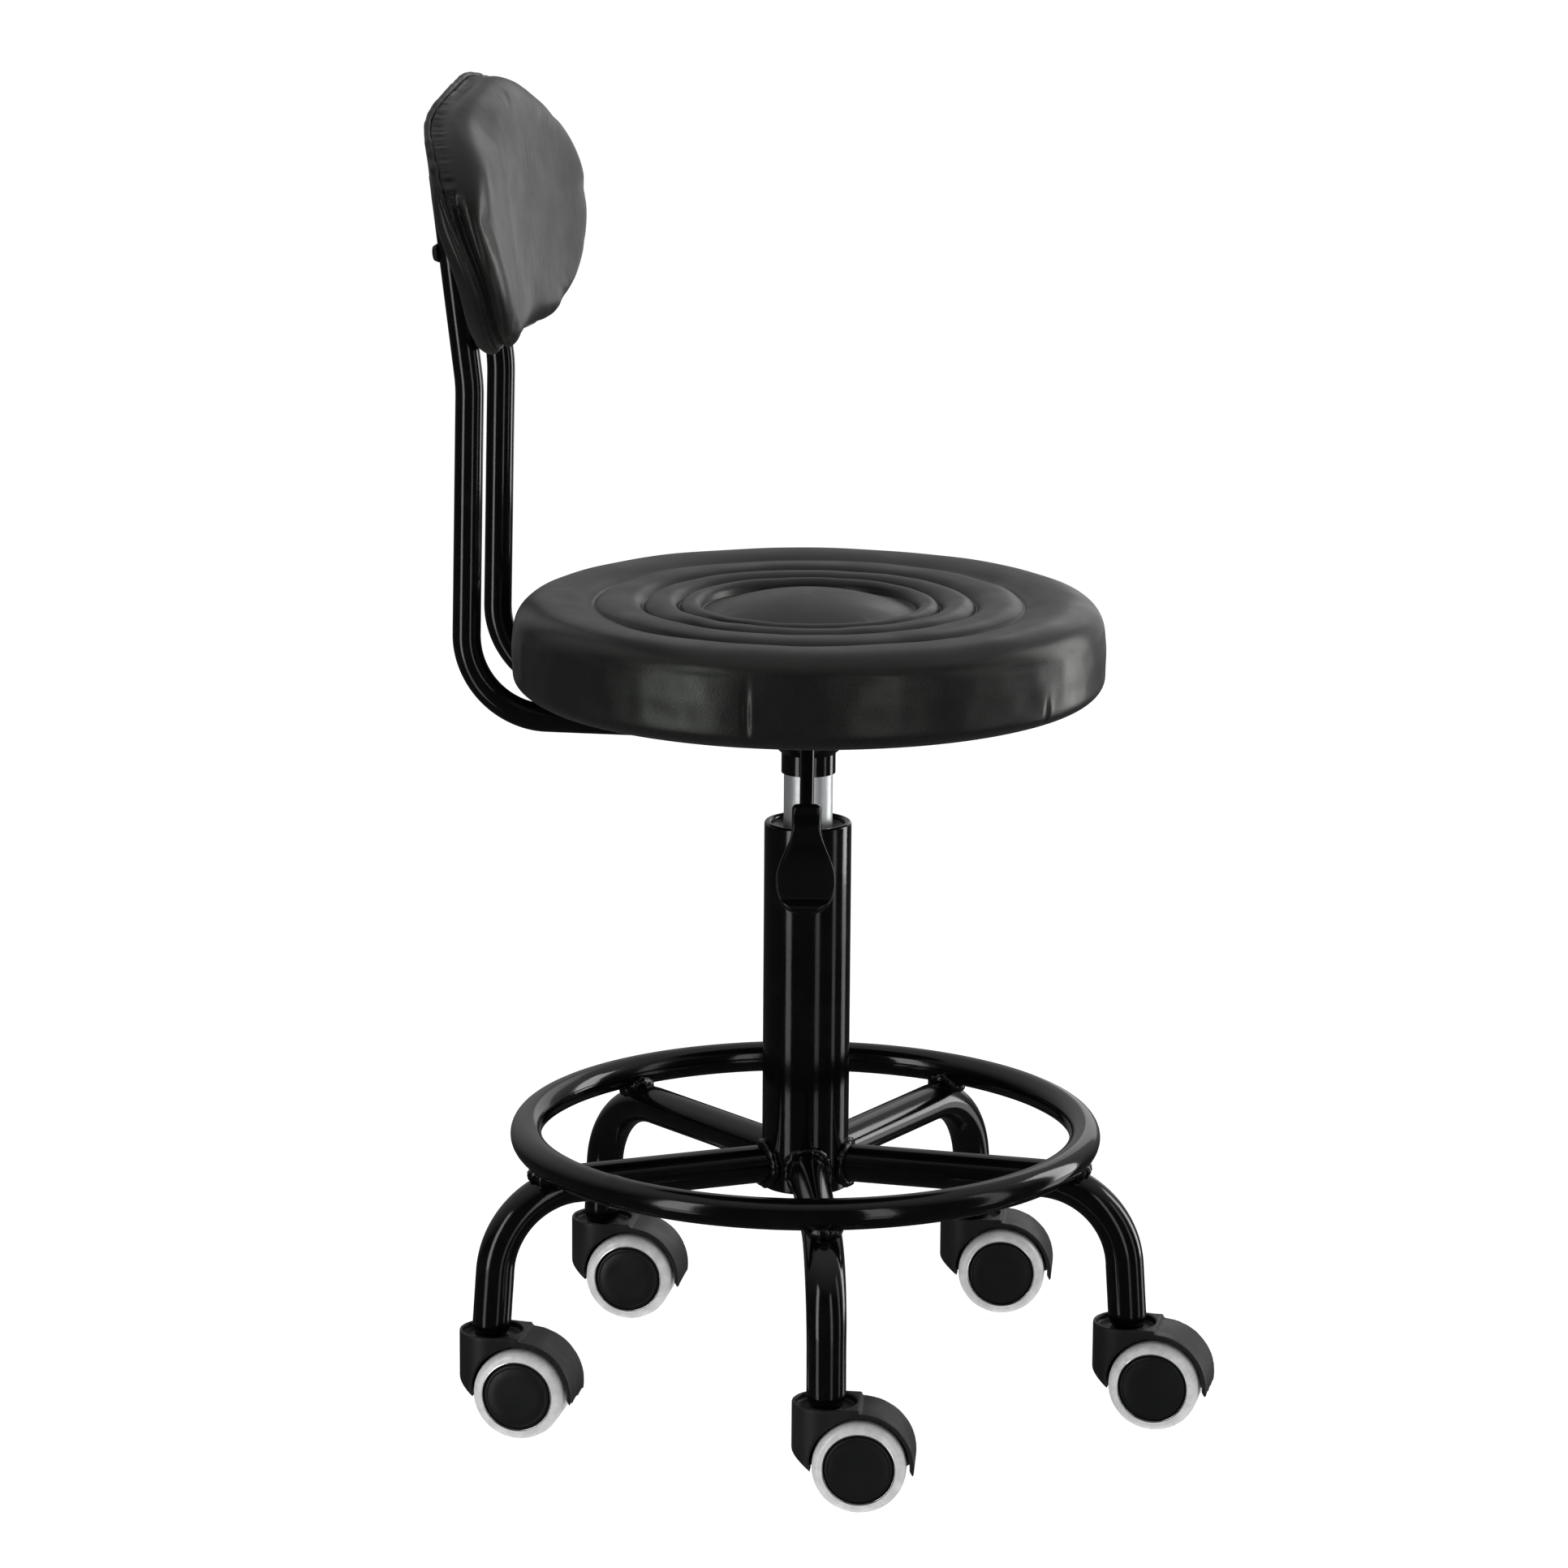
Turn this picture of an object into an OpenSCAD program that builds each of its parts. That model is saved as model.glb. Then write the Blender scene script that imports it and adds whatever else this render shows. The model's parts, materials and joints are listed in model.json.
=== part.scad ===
// Adjustable swivel stool: round padded seat on a gas lift, small backrest on two bent tubes,
// five-legged tube base with a foot ring, and five twin-wheel casters.
// The origin is the centre of the seat's top face, on the swivel axis. +Z is up, and the sitter faces -Y.

/* [Seat] */
// Height of the seat's top face above the floor, with the lift where it is drawn
seat_height = 472; // [462:1:478]
// Outside radius of the seat
seat_r = 168; // [166:1:176]
// Thickness of the seat, from the underside of its board to its top face
seat_thick = 55.5; // [52:0.5:60]
// Rounding radius of the seat's top edge
seat_top_round = 20; // [10:1:22]
// Rounding radius of the seat's bottom edge
seat_bottom_round = 14; // [8:1:14]
// Radius of the plywood seat board
seat_board_r = 155; // [148:1:156]
// Thickness of the plywood seat board
seat_board_t = 12; // [10:1:14]
// Thickness of the covers on seat and backrest
cover_t = 1.5; // [1:0.1:2]

/* [Backrest] */
// Half of the backrest pad's width
pad_half_w = 151; // [140:1:160]
// Height of the pad above its centre
pad_up = 77; // [70:1:84]
// Depth of the pad's two lower lobes below its centre
pad_down = 79; // [70:1:84]
// Share of the lower depth that the arch between the lobes takes away
pad_arch = 0.14; // [0.06:0.02:0.24]
// Thickness of the backrest pad
pad_thick = 26; // [22:1:32]
// How far the pad's ends wrap forward of its middle
pad_wrap = 12; // [10:1:20]
// Height of the pad's centre above the floor
pad_height = 684; // [672:1:702]
// Thickness of the board inside the pad
pad_board_t = 8; // [6:1:9]
// Distance between the two backrest tubes, centre to centre
backrest_gauge = 90; // [84:1:96]
// Outside diameter of the backrest tubes
backrest_tube_d = 16; // [14:0.5:18]
// Distance of the tubes' bend behind the swivel axis
backrest_reach = 189; // [184:1:196]
// Height of the tubes' level stretch above the floor
backrest_run_height = 405; // [402:1:405]
// Bend radius at the foot of each upright
backrest_bend_r = 46; // [40:1:54]
// Angle by which the tubes' middle stretch leans forward
backrest_forward = 1; // [0.5:0.5:2]
// Angle by which the tubes' upper stretch leans back
backrest_lean = 7; // [4:1:12]
// Height at which the tubes start to lean back
backrest_knee_height = 587; // [573:1:603]
// Height of the tubes' upper ends
backrest_top_height = 711; // [703:1:719]

/* [Gas lift] */
// Outside diameter of the column tube
column_d = 50; // [48:1:54]
// Wall thickness of the column tube
column_wall = 1.5; // [1:0.1:2]
// Height of the column's lower end above the floor
column_bottom = 125; // [121:1:127]
// Height of the column's upper end above the floor
column_top = 341; // [333:1:343]
// Outside diameter of the gas cylinder
cylinder_d = 28; // [27:0.5:28]
// Diameter of the piston rod
rod_d = 10; // [8:1:10]

/* [Height lever] */
// Angle by which the lever is turned forward from straight out to the side
lever_turn = 7.5; // [0:0.5:12]
// Diameter of the lever's bent rod
lever_rod_d = 8; // [7:0.5:8]
// Angle of the lever's handle from straight down
lever_slope = 28; // [20:1:36]
// Length of the lever's paddle
paddle_len = 63; // [56:1:70]
// Width of the lever's paddle across its round end
paddle_w = 32.5; // [28:0.5:36]

/* [Base] */
// Outside diameter of the leg tubes
leg_d = 22; // [21:0.5:22.5]
// Wall thickness of the leg tubes
leg_wall = 1.5; // [1.2:0.1:2]
// Height of the level stretch of the legs above the floor
leg_height = 139.5; // [137:0.5:140]
// Bend radius of the legs
leg_bend_r = 50; // [44:1:56]
// Angle by which the legs' lower stretch spreads outward
leg_splay = 4; // [2:1:5]
// Distance of the legs' feet from the swivel axis
leg_foot_r = 192; // [186:1:200]
// Direction in which the first leg points
leg_turn = 192; // [180:1:204]
// Radius of the foot ring's centre line
ring_r = 161.5; // [158:0.5:165]
// Outside diameter of the foot ring's tube
ring_d = 18; // [16:0.5:20]

/* [Casters] */
// Wheel radius
wheel_r = 26; // [25:0.5:26]
// Width of each wheel
wheel_w = 17; // [16:0.5:17]
// Gap between the two wheels of a caster
wheel_gap = 10; // [10:0.5:11]
// Distance from a caster's stem to its axle
caster_trail = 19.2; // [18.4:0.2:20]
// Direction in which each caster trails, one for each leg
caster_headings = [275, 266, 274, 269, 267];

/* [Hidden] */
$fn = 72;
leg_count = 5;
fit_gap = 0.05;
// A bent tube's straight stretches are this much thinner, and run this far into its bends
seam_step = 0.05;
seam_lap = 0.3;
plug_play = 2 * seam_step + 0.04;
legs = [1:leg_count];

// Heights of the stack under the seat, above the floor
board_bottom = seat_height - seat_thick;
board_top = board_bottom + seat_board_t;
bracket_t = 3.5;
bracket_bottom = board_bottom - bracket_t;
plate_t = 2.5;
plate_bottom = bracket_bottom - plate_t;
screw_d = 6;
screw_head_d = 12;
screw_head_h = 4;
screw_dx = 24;
screw_dy = 44;
tee_barrel_d = 8;
tee_flange_d = 17;
tee_flange_t = 1.3;

// Gas lift, heights above the floor
cylinder_bottom = 162;
taper_bottom = 369.5;
taper_top = 393;
taper_tip_r = 13.2;
cylinder_bore_r = 12;
cylinder_bore_top = 348;
gland_h = 14;
piston_bottom = 281;
piston_h = 12;
rod_spigot_r = 4;
rod_bottom = 119;
rod_flange_r = 9;
rod_flange_t = 2;
end_cap_t = 4;
end_cap_top = column_bottom + end_cap_t;
bearing_race_t = 1.5;
bearing_ball_r = 1.5;
bearing_ball_count = 10;
bearing_pitch_r = 8;
bearing_top = end_cap_top + 2 * bearing_race_t + 2 * bearing_ball_r;
rod_flange_bottom = bearing_top + fit_gap;
clip_t = 1.5;
clip_top = column_bottom - 0.2;
clip_groove_r = 4;
bushing_bottom = 271;
bushing_rim_drop = 2.5;
bushing_funnel = 3;
socket_r = 15.5;
socket_cup_r = 22;
socket_cup_bore_r = 19;
socket_flare_bottom = 381;
socket_flare_top = 387;
pin_r = 4;
pin_bottom = 382;
pin_top = taper_top + 5;
pin_hole_bottom = 378.5;
pin_dome_r = 6;

// Height lever: its own plane runs from the axis outward along +X, and is turned to the stool's side
lever_dir = 180 + lever_turn;
lever_axis_z = pin_top + fit_gap + lever_rod_d / 2;
lever_pivot_x = 32;
lever_tip_x = -6;
lever_bend_x = 38;
lever_bend_r = 12;
lever_bend_angle = 90 - lever_slope;
pivot_pin_r = 2;
lug_gap = 12;
lug_t = 3;
handle_x = lever_bend_x + lever_bend_r * sin(lever_bend_angle);
handle_z = lever_axis_z - lever_bend_r * (1 - cos(lever_bend_angle));
handle_to_paddle = 35;
handle_in_paddle = 16;
paddle_t = 5;
paddle_neck_w = 17;
paddle_neck_t = 11;
paddle_neck_len = 20;

// Base
bore_overlap = 1;
leg_end_z = 56;
leg_arc_x = leg_foot_r - leg_bend_r * cos(leg_splay)
    - (leg_height - leg_bend_r * (1 - sin(leg_splay)) - leg_end_z) * tan(leg_splay);
leg_arc_z = leg_height - leg_bend_r;
ring_z = leg_arc_z + fit_gap
    + sqrt(pow(leg_bend_r + (leg_d + ring_d) / 2, 2) - pow(ring_r - leg_arc_x, 2));
plug_top_z = 89;

// Casters
stem_r = 5.5;
stem_top = 87;
stem_flange_r = 9;
stem_flange_bottom = 54.5;
stem_flange_top = 55.8;
stem_low_r = 3;
stem_bottom = 38;
caster_r = leg_foot_r - 1;
hood_top = 58.5;
hood_floor = 54.3;
hood_recess_r = 17.2;
hood_round_r = 19;
hood_half_w = 17.2;
hood_well_r = wheel_r + 1.8;
hood_out_r = wheel_r + 4.4;
hood_web_half = 4.4;
axle_r = 3;
axle_half_len = 18;
wheel_round = 5;
hub_recess_r = 19.5;
hub_recess_depth = 0.8;

// Backrest pad: its own frame has X across, Y up along the pad and Z forward, out of its face
pad_bend_r = (pow(pad_half_w, 2) + pow(pad_wrap, 2)) / (2 * pad_wrap);
tube_out = pad_bend_r - sqrt(pow(pad_bend_r, 2) - pow(backrest_gauge / 2, 2));
knee_r = 90;
bend_y = backrest_reach - backrest_bend_r;
bend_z = backrest_run_height + backrest_bend_r;
bend_end_y = bend_y + backrest_bend_r * cos(backrest_forward);
bend_end_z = bend_z + backrest_bend_r * sin(backrest_forward);
middle_len = (backrest_knee_height - bend_end_z) / cos(backrest_forward);
knee_y = bend_end_y - middle_len * sin(backrest_forward) + knee_r * cos(backrest_forward);
knee_z = backrest_knee_height + knee_r * sin(backrest_forward);
knee_end_y = knee_y - knee_r * cos(backrest_lean);
knee_end_z = knee_z + knee_r * sin(backrest_lean);
tube_at_pad_y = knee_end_y + (pad_height - knee_end_z) * tan(backrest_lean);
pad_y = tube_at_pad_y - (backrest_tube_d / 2 - tube_out) / cos(backrest_lean);
pad_upper_power = 1.7;
pad_lower_power = 2.2;
pad_arch_w = 60;
pad_points = 72;
backrest_wall = 1.5;
backrest_front_y = 16;
bolt_r = 3;
bolt_v = -15;
bolt_head_r = 5.5;
bolt_head_h = 3;
tee_seat_w = 9.5;

// ---------- helpers ----------

// Points on an arc, from angle a0 to a1
function arc(cx, cy, r, a0, a1, steps = 8) =
    [for (i = [0:steps]) let (a = a0 + (a1 - a0) * i / steps) [cx + r * cos(a), cy + r * sin(a)]];

// Distance of the pad's outline from its centre at angle a, for half sizes half_w and half_h
function superellipse_r(a, power) = pow(pow(abs(cos(a)), power) + pow(abs(sin(a)), power), -1 / power);

// The kidney outline of the backrest pad, drawn in by inset all round
function pad_outline(inset) = [
    for (i = [0:pad_points - 1])
        let (
            a = 360 * i / pad_points,
            upper = sin(a) >= 0,
            r = superellipse_r(a, upper ? pad_upper_power : pad_lower_power),
            u = r * cos(a) * (pad_half_w - inset),
            v = r * sin(a) * ((upper ? pad_up : pad_down) - inset)
        )
        [u, upper ? v : v * (1 - pad_arch * exp(-pow(u / pad_arch_w, 2)))]
];

// Puts a shape that is drawn from the floor up into the stool's own frame
module from_floor() translate([0, 0, -seat_height]) children();

// Cross-section of a tube
module tube_section(d, wall) {
    difference() {
        circle(d = d);
        circle(d = d - 2 * wall);
    }
}

// Hollow cylinder
module sleeve(outer_r, inner_r, h) {
    difference() {
        cylinder(r = outer_r, h = h);
        translate([0, 0, -bore_overlap]) cylinder(r = inner_r, h = h + 2 * bore_overlap);
    }
}

// Copies a shape to the four screw places
module at_screws() {
    for (x = [-screw_dx, screw_dx], y = [-screw_dy, screw_dy]) translate([x, y, 0]) children();
}

// Places a shape drawn in the plane of leg i, which runs outward along +X
module at_leg(i) from_floor() rotate([0, 0, leg_turn + 360 / leg_count * (i - 1)]) children();

// Places a shape drawn around the stem of caster i, with the caster trailing along +X
module at_caster(i) at_leg(i) translate([caster_r, 0, 0])
    rotate([0, 0, caster_headings[i - 1] - leg_turn - 360 / leg_count * (i - 1)]) children();

// Places a shape drawn in the lever's plane
module at_lever() from_floor() rotate([0, 0, lever_dir]) children();

// Places a shape drawn in the backrest pad's own frame
module at_pad() from_floor() translate([0, pad_y, pad_height])
    rotate([90 - backrest_lean, 0, 0]) children();

// ---------- column and gas lift ----------

module column_tube() color("#141416") from_floor() translate([0, 0, column_bottom])
    sleeve(column_d / 2, column_d / 2 - column_wall, column_top - column_bottom);

module column_bushing() color("#2a2a2c") from_floor() rotate_extrude() polygon([
    [cylinder_d / 2 + fit_gap, bushing_bottom],
    [column_d / 2 - column_wall, bushing_bottom],
    [column_d / 2 - column_wall, column_top - bushing_rim_drop],
    [cylinder_d / 2 + bushing_funnel, column_top - bushing_rim_drop],
    [cylinder_d / 2 + fit_gap, column_top - bushing_rim_drop - bushing_funnel]
]);

module column_end_cap() color("#1c1c1e") from_floor() translate([0, 0, column_bottom])
    sleeve(column_d / 2 - column_wall, rod_d / 2 + fit_gap, end_cap_t);

module thrust_bearing() color("#b8bcc0") from_floor() translate([0, 0, end_cap_top]) {
    sleeve(bearing_pitch_r + 3, rod_d / 2 + fit_gap, bearing_race_t);
    translate([0, 0, bearing_race_t + 2 * bearing_ball_r])
        sleeve(bearing_pitch_r + 3, rod_d / 2 + fit_gap, bearing_race_t);
    for (i = [1:bearing_ball_count]) rotate([0, 0, 360 / bearing_ball_count * i])
        translate([bearing_pitch_r, 0, bearing_race_t + bearing_ball_r]) sphere(r = bearing_ball_r - 0.01);
}

module piston_rod() color("#c4c8cc") from_floor() difference() {
    union() {
        translate([0, 0, rod_bottom]) cylinder(d = rod_d, h = piston_bottom - rod_bottom);
        translate([0, 0, rod_flange_bottom]) cylinder(r = rod_flange_r, h = rod_flange_t);
        translate([0, 0, piston_bottom - 1]) cylinder(r = rod_spigot_r, h = piston_h + 1);
    }
    translate([0, 0, clip_top - clip_t]) sleeve(rod_d, clip_groove_r, clip_t);
}

module piston() color("#8a8d90") from_floor() translate([0, 0, piston_bottom])
    sleeve(cylinder_bore_r - fit_gap, rod_spigot_r + 0.02, piston_h);

module rod_clip() color("#77797c") from_floor() translate([0, 0, clip_top - clip_t]) difference() {
    sleeve(rod_flange_r, clip_groove_r, clip_t);
    translate([0, -3, -bore_overlap]) cube([rod_d, 6, clip_t + 2 * bore_overlap]);
}

module bump_stop() color("#1a1a1a") from_floor() translate([0, 0, rod_flange_bottom + rod_flange_t])
    sleeve(rod_flange_r, rod_d / 2 + 0.02, 2.5);

module gas_cylinder() color("#d4d7da") from_floor() difference() {
    union() {
        translate([0, 0, cylinder_bottom]) cylinder(d = cylinder_d, h = taper_bottom - cylinder_bottom);
        translate([0, 0, taper_bottom])
            cylinder(r1 = cylinder_d / 2, r2 = taper_tip_r, h = taper_top - taper_bottom);
    }
    translate([0, 0, cylinder_bottom - bore_overlap])
        cylinder(r = cylinder_bore_r, h = cylinder_bore_top - cylinder_bottom + bore_overlap);
    translate([0, 0, pin_hole_bottom]) cylinder(r = pin_r + fit_gap, h = taper_top);
}

module cylinder_gland() color("#3a3a3c") from_floor() translate([0, 0, cylinder_bottom])
    sleeve(cylinder_bore_r - 0.02, rod_d / 2 + fit_gap, gland_h);

module release_pin() color("#c0c4c8") from_floor() intersection() {
    translate([0, 0, pin_bottom]) cylinder(r = pin_r, h = pin_top - pin_bottom + 1);
    union() {
        translate([0, 0, pin_top - pin_dome_r]) sphere(r = pin_dome_r);
        translate([0, 0, pin_bottom - 1]) cylinder(r = pin_r + 1, h = pin_top - pin_dome_r - pin_bottom + 1);
    }
}

// Pressed-steel socket: a tapered sleeve on the gas cylinder that opens into a cup over its button
module taper_socket() color("#161618") difference() {
    from_floor() rotate_extrude() polygon([
        [cylinder_d / 2 + 0.02, taper_bottom],
        [socket_r, taper_bottom],
        [socket_r, socket_flare_bottom],
        [socket_cup_r, socket_flare_top],
        [socket_cup_r, plate_bottom],
        [socket_cup_bore_r, plate_bottom],
        [socket_cup_bore_r, taper_top],
        [taper_tip_r + 0.02, taper_top]
    ]);
    at_lever() translate([0, -lever_rod_d / 2 - 1.5, taper_top + 1.5])
        cube([socket_cup_r + 5, lever_rod_d + 3, plate_bottom - taper_top]);
}

// ---------- seat mounting and lever ----------

module mounting_plate() color("#18181a") {
    difference() {
        from_floor() translate([-34, -58, plate_bottom]) cube([68, 116, plate_t]);
        from_floor() at_screws() translate([0, 0, plate_bottom - 1]) cylinder(d = screw_d + 0.6, h = plate_t + 2);
    }
    at_lever() difference() {
        for (side = [-1, 1]) translate([lever_pivot_x - 6, side * (lug_gap + lug_t) / 2 - lug_t / 2, lever_axis_z - 6])
            cube([12, lug_t, plate_bottom - lever_axis_z + 6]);
        translate([lever_pivot_x, -lug_gap, lever_axis_z]) rotate([-90, 0, 0])
            cylinder(r = pivot_pin_r + 0.02, h = 2 * lug_gap);
    }
}

module lever_pivot_pin() color("#9a9da0") at_lever()
    translate([lever_pivot_x, -lug_gap / 2 - lug_t - 1, lever_axis_z]) rotate([-90, 0, 0])
        cylinder(r = pivot_pin_r, h = lug_gap + 2 * lug_t + 2);

// Solid centre-line path of the lever's rod, round with diameter d
module lever_path(d) {
    translate([lever_tip_x, 0, lever_axis_z]) rotate([0, 90, 0])
        cylinder(d = d - 2 * seam_step, h = lever_bend_x - lever_tip_x + seam_lap);
    translate([lever_bend_x, 0, lever_axis_z - lever_bend_r]) rotate([90, 0, 0]) rotate([0, 0, lever_slope])
        rotate_extrude(angle = lever_bend_angle) translate([lever_bend_r, 0]) circle(d = d);
    translate([handle_x, 0, handle_z]) rotate([0, 180 - lever_slope, 0]) translate([0, 0, -seam_lap])
        cylinder(d = d - 2 * seam_step, h = handle_to_paddle + handle_in_paddle + seam_lap);
}

module lever_rod() color("#151517") at_lever() difference() {
    lever_path(lever_rod_d);
    translate([lever_pivot_x, -lever_rod_d, lever_axis_z]) rotate([-90, 0, 0])
        cylinder(r = pivot_pin_r + fit_gap, h = 2 * lever_rod_d);
}

// Paddle, drawn along +X from its neck, flat in XY
module lever_paddle() color("#111113") at_lever() translate([handle_x, 0, handle_z])
    rotate([0, 90 - lever_slope, 0]) translate([handle_to_paddle, 0, 0]) difference() {
        union() {
            translate([0, 0, -paddle_t / 2]) linear_extrude(paddle_t) union() {
                translate([paddle_len - paddle_w / 2, 0]) circle(d = paddle_w);
                polygon([
                    [0, -paddle_neck_w / 2],
                    [paddle_neck_len, -paddle_neck_w / 2 - 0.6],
                    [paddle_len - paddle_w / 2 - 6, -paddle_w / 2 + 1.2],
                    [paddle_len - paddle_w / 2, -paddle_w / 2],
                    [paddle_len - paddle_w / 2, paddle_w / 2],
                    [paddle_len - paddle_w / 2 - 6, paddle_w / 2 - 1.2],
                    [paddle_neck_len, paddle_neck_w / 2 + 0.6],
                    [0, paddle_neck_w / 2]
                ]);
            }
            translate([0, -paddle_neck_w / 2 + 1, -paddle_neck_t / 2])
                cube([paddle_neck_len, paddle_neck_w - 2, paddle_neck_t]);
        }
        translate([-1, 0, 0]) rotate([0, 90, 0]) cylinder(d = lever_rod_d + 0.04, h = handle_in_paddle + 1.1);
    }

module seat_screws() color("#8f9296") from_floor() at_screws() {
    translate([0, 0, plate_bottom - screw_head_h]) cylinder(d = screw_head_d, h = screw_head_h);
    translate([0, 0, plate_bottom - 0.5]) cylinder(d = screw_d, h = board_top - 3 - plate_bottom);
}

module seat_tee_nuts() color("#a5a8ab") from_floor() at_screws() {
    translate([0, 0, board_top - tee_flange_t]) sleeve(tee_flange_d / 2, screw_d / 2 + 0.02, tee_flange_t);
    translate([0, 0, board_bottom + 2])
        sleeve(tee_barrel_d / 2, screw_d / 2 + 0.02, seat_board_t - tee_flange_t - 2);
}

// ---------- seat ----------

module seat_board() color("#b08a5a") from_floor() difference() {
    translate([0, 0, board_bottom]) cylinder(r = seat_board_r, h = seat_board_t);
    at_screws() {
        translate([0, 0, board_bottom - 1]) cylinder(d = tee_barrel_d + 0.04, h = seat_board_t + 2);
        translate([0, 0, board_top - tee_flange_t]) cylinder(d = tee_flange_d + 0.04, h = seat_board_t);
    }
}

module seat_foam() color("#d8cf9a") from_floor() rotate_extrude() polygon(concat(
    [[0, board_top], [seat_board_r, board_top], [seat_board_r, board_bottom]],
    arc(seat_r - seat_bottom_round, board_bottom + seat_bottom_round - cover_t,
        seat_bottom_round - cover_t, -75, 0),
    arc(seat_r - seat_top_round, seat_height - seat_top_round, seat_top_round - cover_t, 0, 90),
    [[0, seat_height - cover_t]]
));

// Cover with a hem that turns in under the board
module seat_cover() color("#1b1d1e") from_floor() rotate_extrude() polygon(concat(
    [[0, seat_height]],
    arc(seat_r - seat_top_round, seat_height - seat_top_round, seat_top_round, 90, 0),
    arc(seat_r - seat_bottom_round, board_bottom + seat_bottom_round - cover_t, seat_bottom_round, 0, -90),
    [[130, board_bottom - cover_t], [130, board_bottom], [seat_board_r, board_bottom]],
    arc(seat_r - seat_bottom_round, board_bottom + seat_bottom_round - cover_t,
        seat_bottom_round - cover_t, -75, 0),
    arc(seat_r - seat_top_round, seat_height - seat_top_round, seat_top_round - cover_t, 0, 90),
    [[0, seat_height - cover_t]]
));

// ---------- backrest ----------

module backrest_bracket() color("#18181a") from_floor() difference() {
    translate([-60, -60, bracket_bottom]) cube([120, 135, bracket_t]);
    at_screws() translate([0, 0, bracket_bottom - 1]) cylinder(d = screw_d + 0.6, h = bracket_t + 2);
}

// Solid centre-line path of a backrest tube with diameter d, longer than the tube by extra at each end
module backrest_path(d, extra) {
    straight_d = d - 2 * seam_step;
    translate([0, backrest_front_y - extra, backrest_run_height]) rotate([-90, 0, 0])
        cylinder(d = straight_d, h = bend_y - backrest_front_y + extra + seam_lap);
    translate([0, bend_y, bend_z]) rotate([90, 0, 90]) rotate([0, 0, -90])
        rotate_extrude(angle = 90 + backrest_forward) translate([backrest_bend_r, 0]) circle(d = d);
    translate([0, bend_end_y, bend_end_z]) rotate([backrest_forward, 0, 0]) translate([0, 0, -seam_lap])
        cylinder(d = straight_d, h = middle_len + 2 * seam_lap);
    translate([0, knee_y, knee_z]) rotate([90, 0, 90]) rotate([0, 0, 180 - backrest_lean])
        rotate_extrude(angle = backrest_lean + backrest_forward) translate([knee_r, 0]) circle(d = d);
    translate([0, knee_end_y, knee_end_z]) rotate([-backrest_lean, 0, 0]) translate([0, 0, -seam_lap])
        cylinder(d = straight_d, h = (backrest_top_height - knee_end_z) / cos(backrest_lean) + extra + seam_lap);
}

// One bent tube, at distance x from the middle
module backrest_tube(x) difference() {
    from_floor() translate([x, 0, 0]) difference() {
        backrest_path(backrest_tube_d, 0);
        backrest_path(backrest_tube_d - 2 * backrest_wall, 5);
    }
    at_pad() translate([x, bolt_v, -backrest_tube_d * 2]) cylinder(r = bolt_r + 0.3, h = backrest_tube_d * 3);
}

module backrest_tube_right() color("#131315") backrest_tube(-backrest_gauge / 2);

module backrest_tube_left() color("#131315") backrest_tube(backrest_gauge / 2);

module backrest_tube_plugs() color("#1e1e20") for (x = [-backrest_gauge / 2, backrest_gauge / 2])
    from_floor() translate([x, knee_end_y, knee_end_z]) rotate([-backrest_lean, 0, 0])
        translate([0, 0, (backrest_top_height - knee_end_z) / cos(backrest_lean)]) {
            cylinder(r1 = backrest_tube_d / 2 - 0.2, r2 = backrest_tube_d / 2 - 2, h = 2.5);
            translate([0, 0, -10]) cylinder(d = backrest_tube_d - 2 * backrest_wall - plug_play, h = 10.5);
        }

// Curved slab of the pad's outline, from depth w0 to w1 in front of its back face
module pad_slab(inset, w0, w1) {
    intersection() {
        translate([0, 0, -20]) linear_extrude(100) polygon(pad_outline(inset));
        translate([0, -200, pad_bend_r]) rotate([-90, 0, 0]) sleeve(pad_bend_r - w0, pad_bend_r - w1, 400);
    }
}

// Copies a shape to the two bolts through the tubes, drawn along the pad's forward direction
module at_pad_bolts() at_pad() for (x = [-backrest_gauge / 2, backrest_gauge / 2])
    translate([x, bolt_v, 0]) children();

module backrest_board() color("#b08a5a") difference() {
    at_pad() pad_slab(cover_t, cover_t, cover_t + pad_board_t);
    at_pad_bolts() translate([0, 0, -5]) cylinder(d = tee_barrel_d + 0.04, h = 40);
    at_pad_bolts() translate([0, 0, tee_seat_w]) cylinder(d = tee_flange_d + 0.04, h = 20);
}

module backrest_foam() color("#d8cf9a") difference() {
    at_pad() pad_slab(cover_t, cover_t + pad_board_t, pad_thick - cover_t);
    at_pad_bolts() translate([0, 0, tee_seat_w]) cylinder(d = tee_flange_d + 1, h = tee_flange_t + 1);
}

module backrest_cover() color("#1b1d1e") difference() {
    at_pad() pad_slab(0, 0, pad_thick);
    at_pad() pad_slab(cover_t, cover_t, pad_thick - cover_t);
    at_pad_bolts() translate([0, 0, -5]) cylinder(r = bolt_r + 0.3, h = 10);
}

module backrest_bolts() color("#2a2b2d") at_pad_bolts() {
    back = tube_out - backrest_tube_d;
    translate([0, 0, back - bolt_head_h]) cylinder(r1 = bolt_head_r - 1.5, r2 = bolt_head_r, h = bolt_head_h);
    translate([0, 0, back - 0.5]) cylinder(r = bolt_r, h = tee_seat_w - back);
}

module backrest_tee_nuts() color("#a5a8ab") at_pad_bolts() {
    translate([0, 0, tee_seat_w]) sleeve(tee_flange_d / 2, bolt_r + 0.02, tee_flange_t);
    translate([0, 0, 4]) sleeve(tee_barrel_d / 2, bolt_r + 0.02, tee_seat_w - 4);
}

// ---------- base ----------

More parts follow.
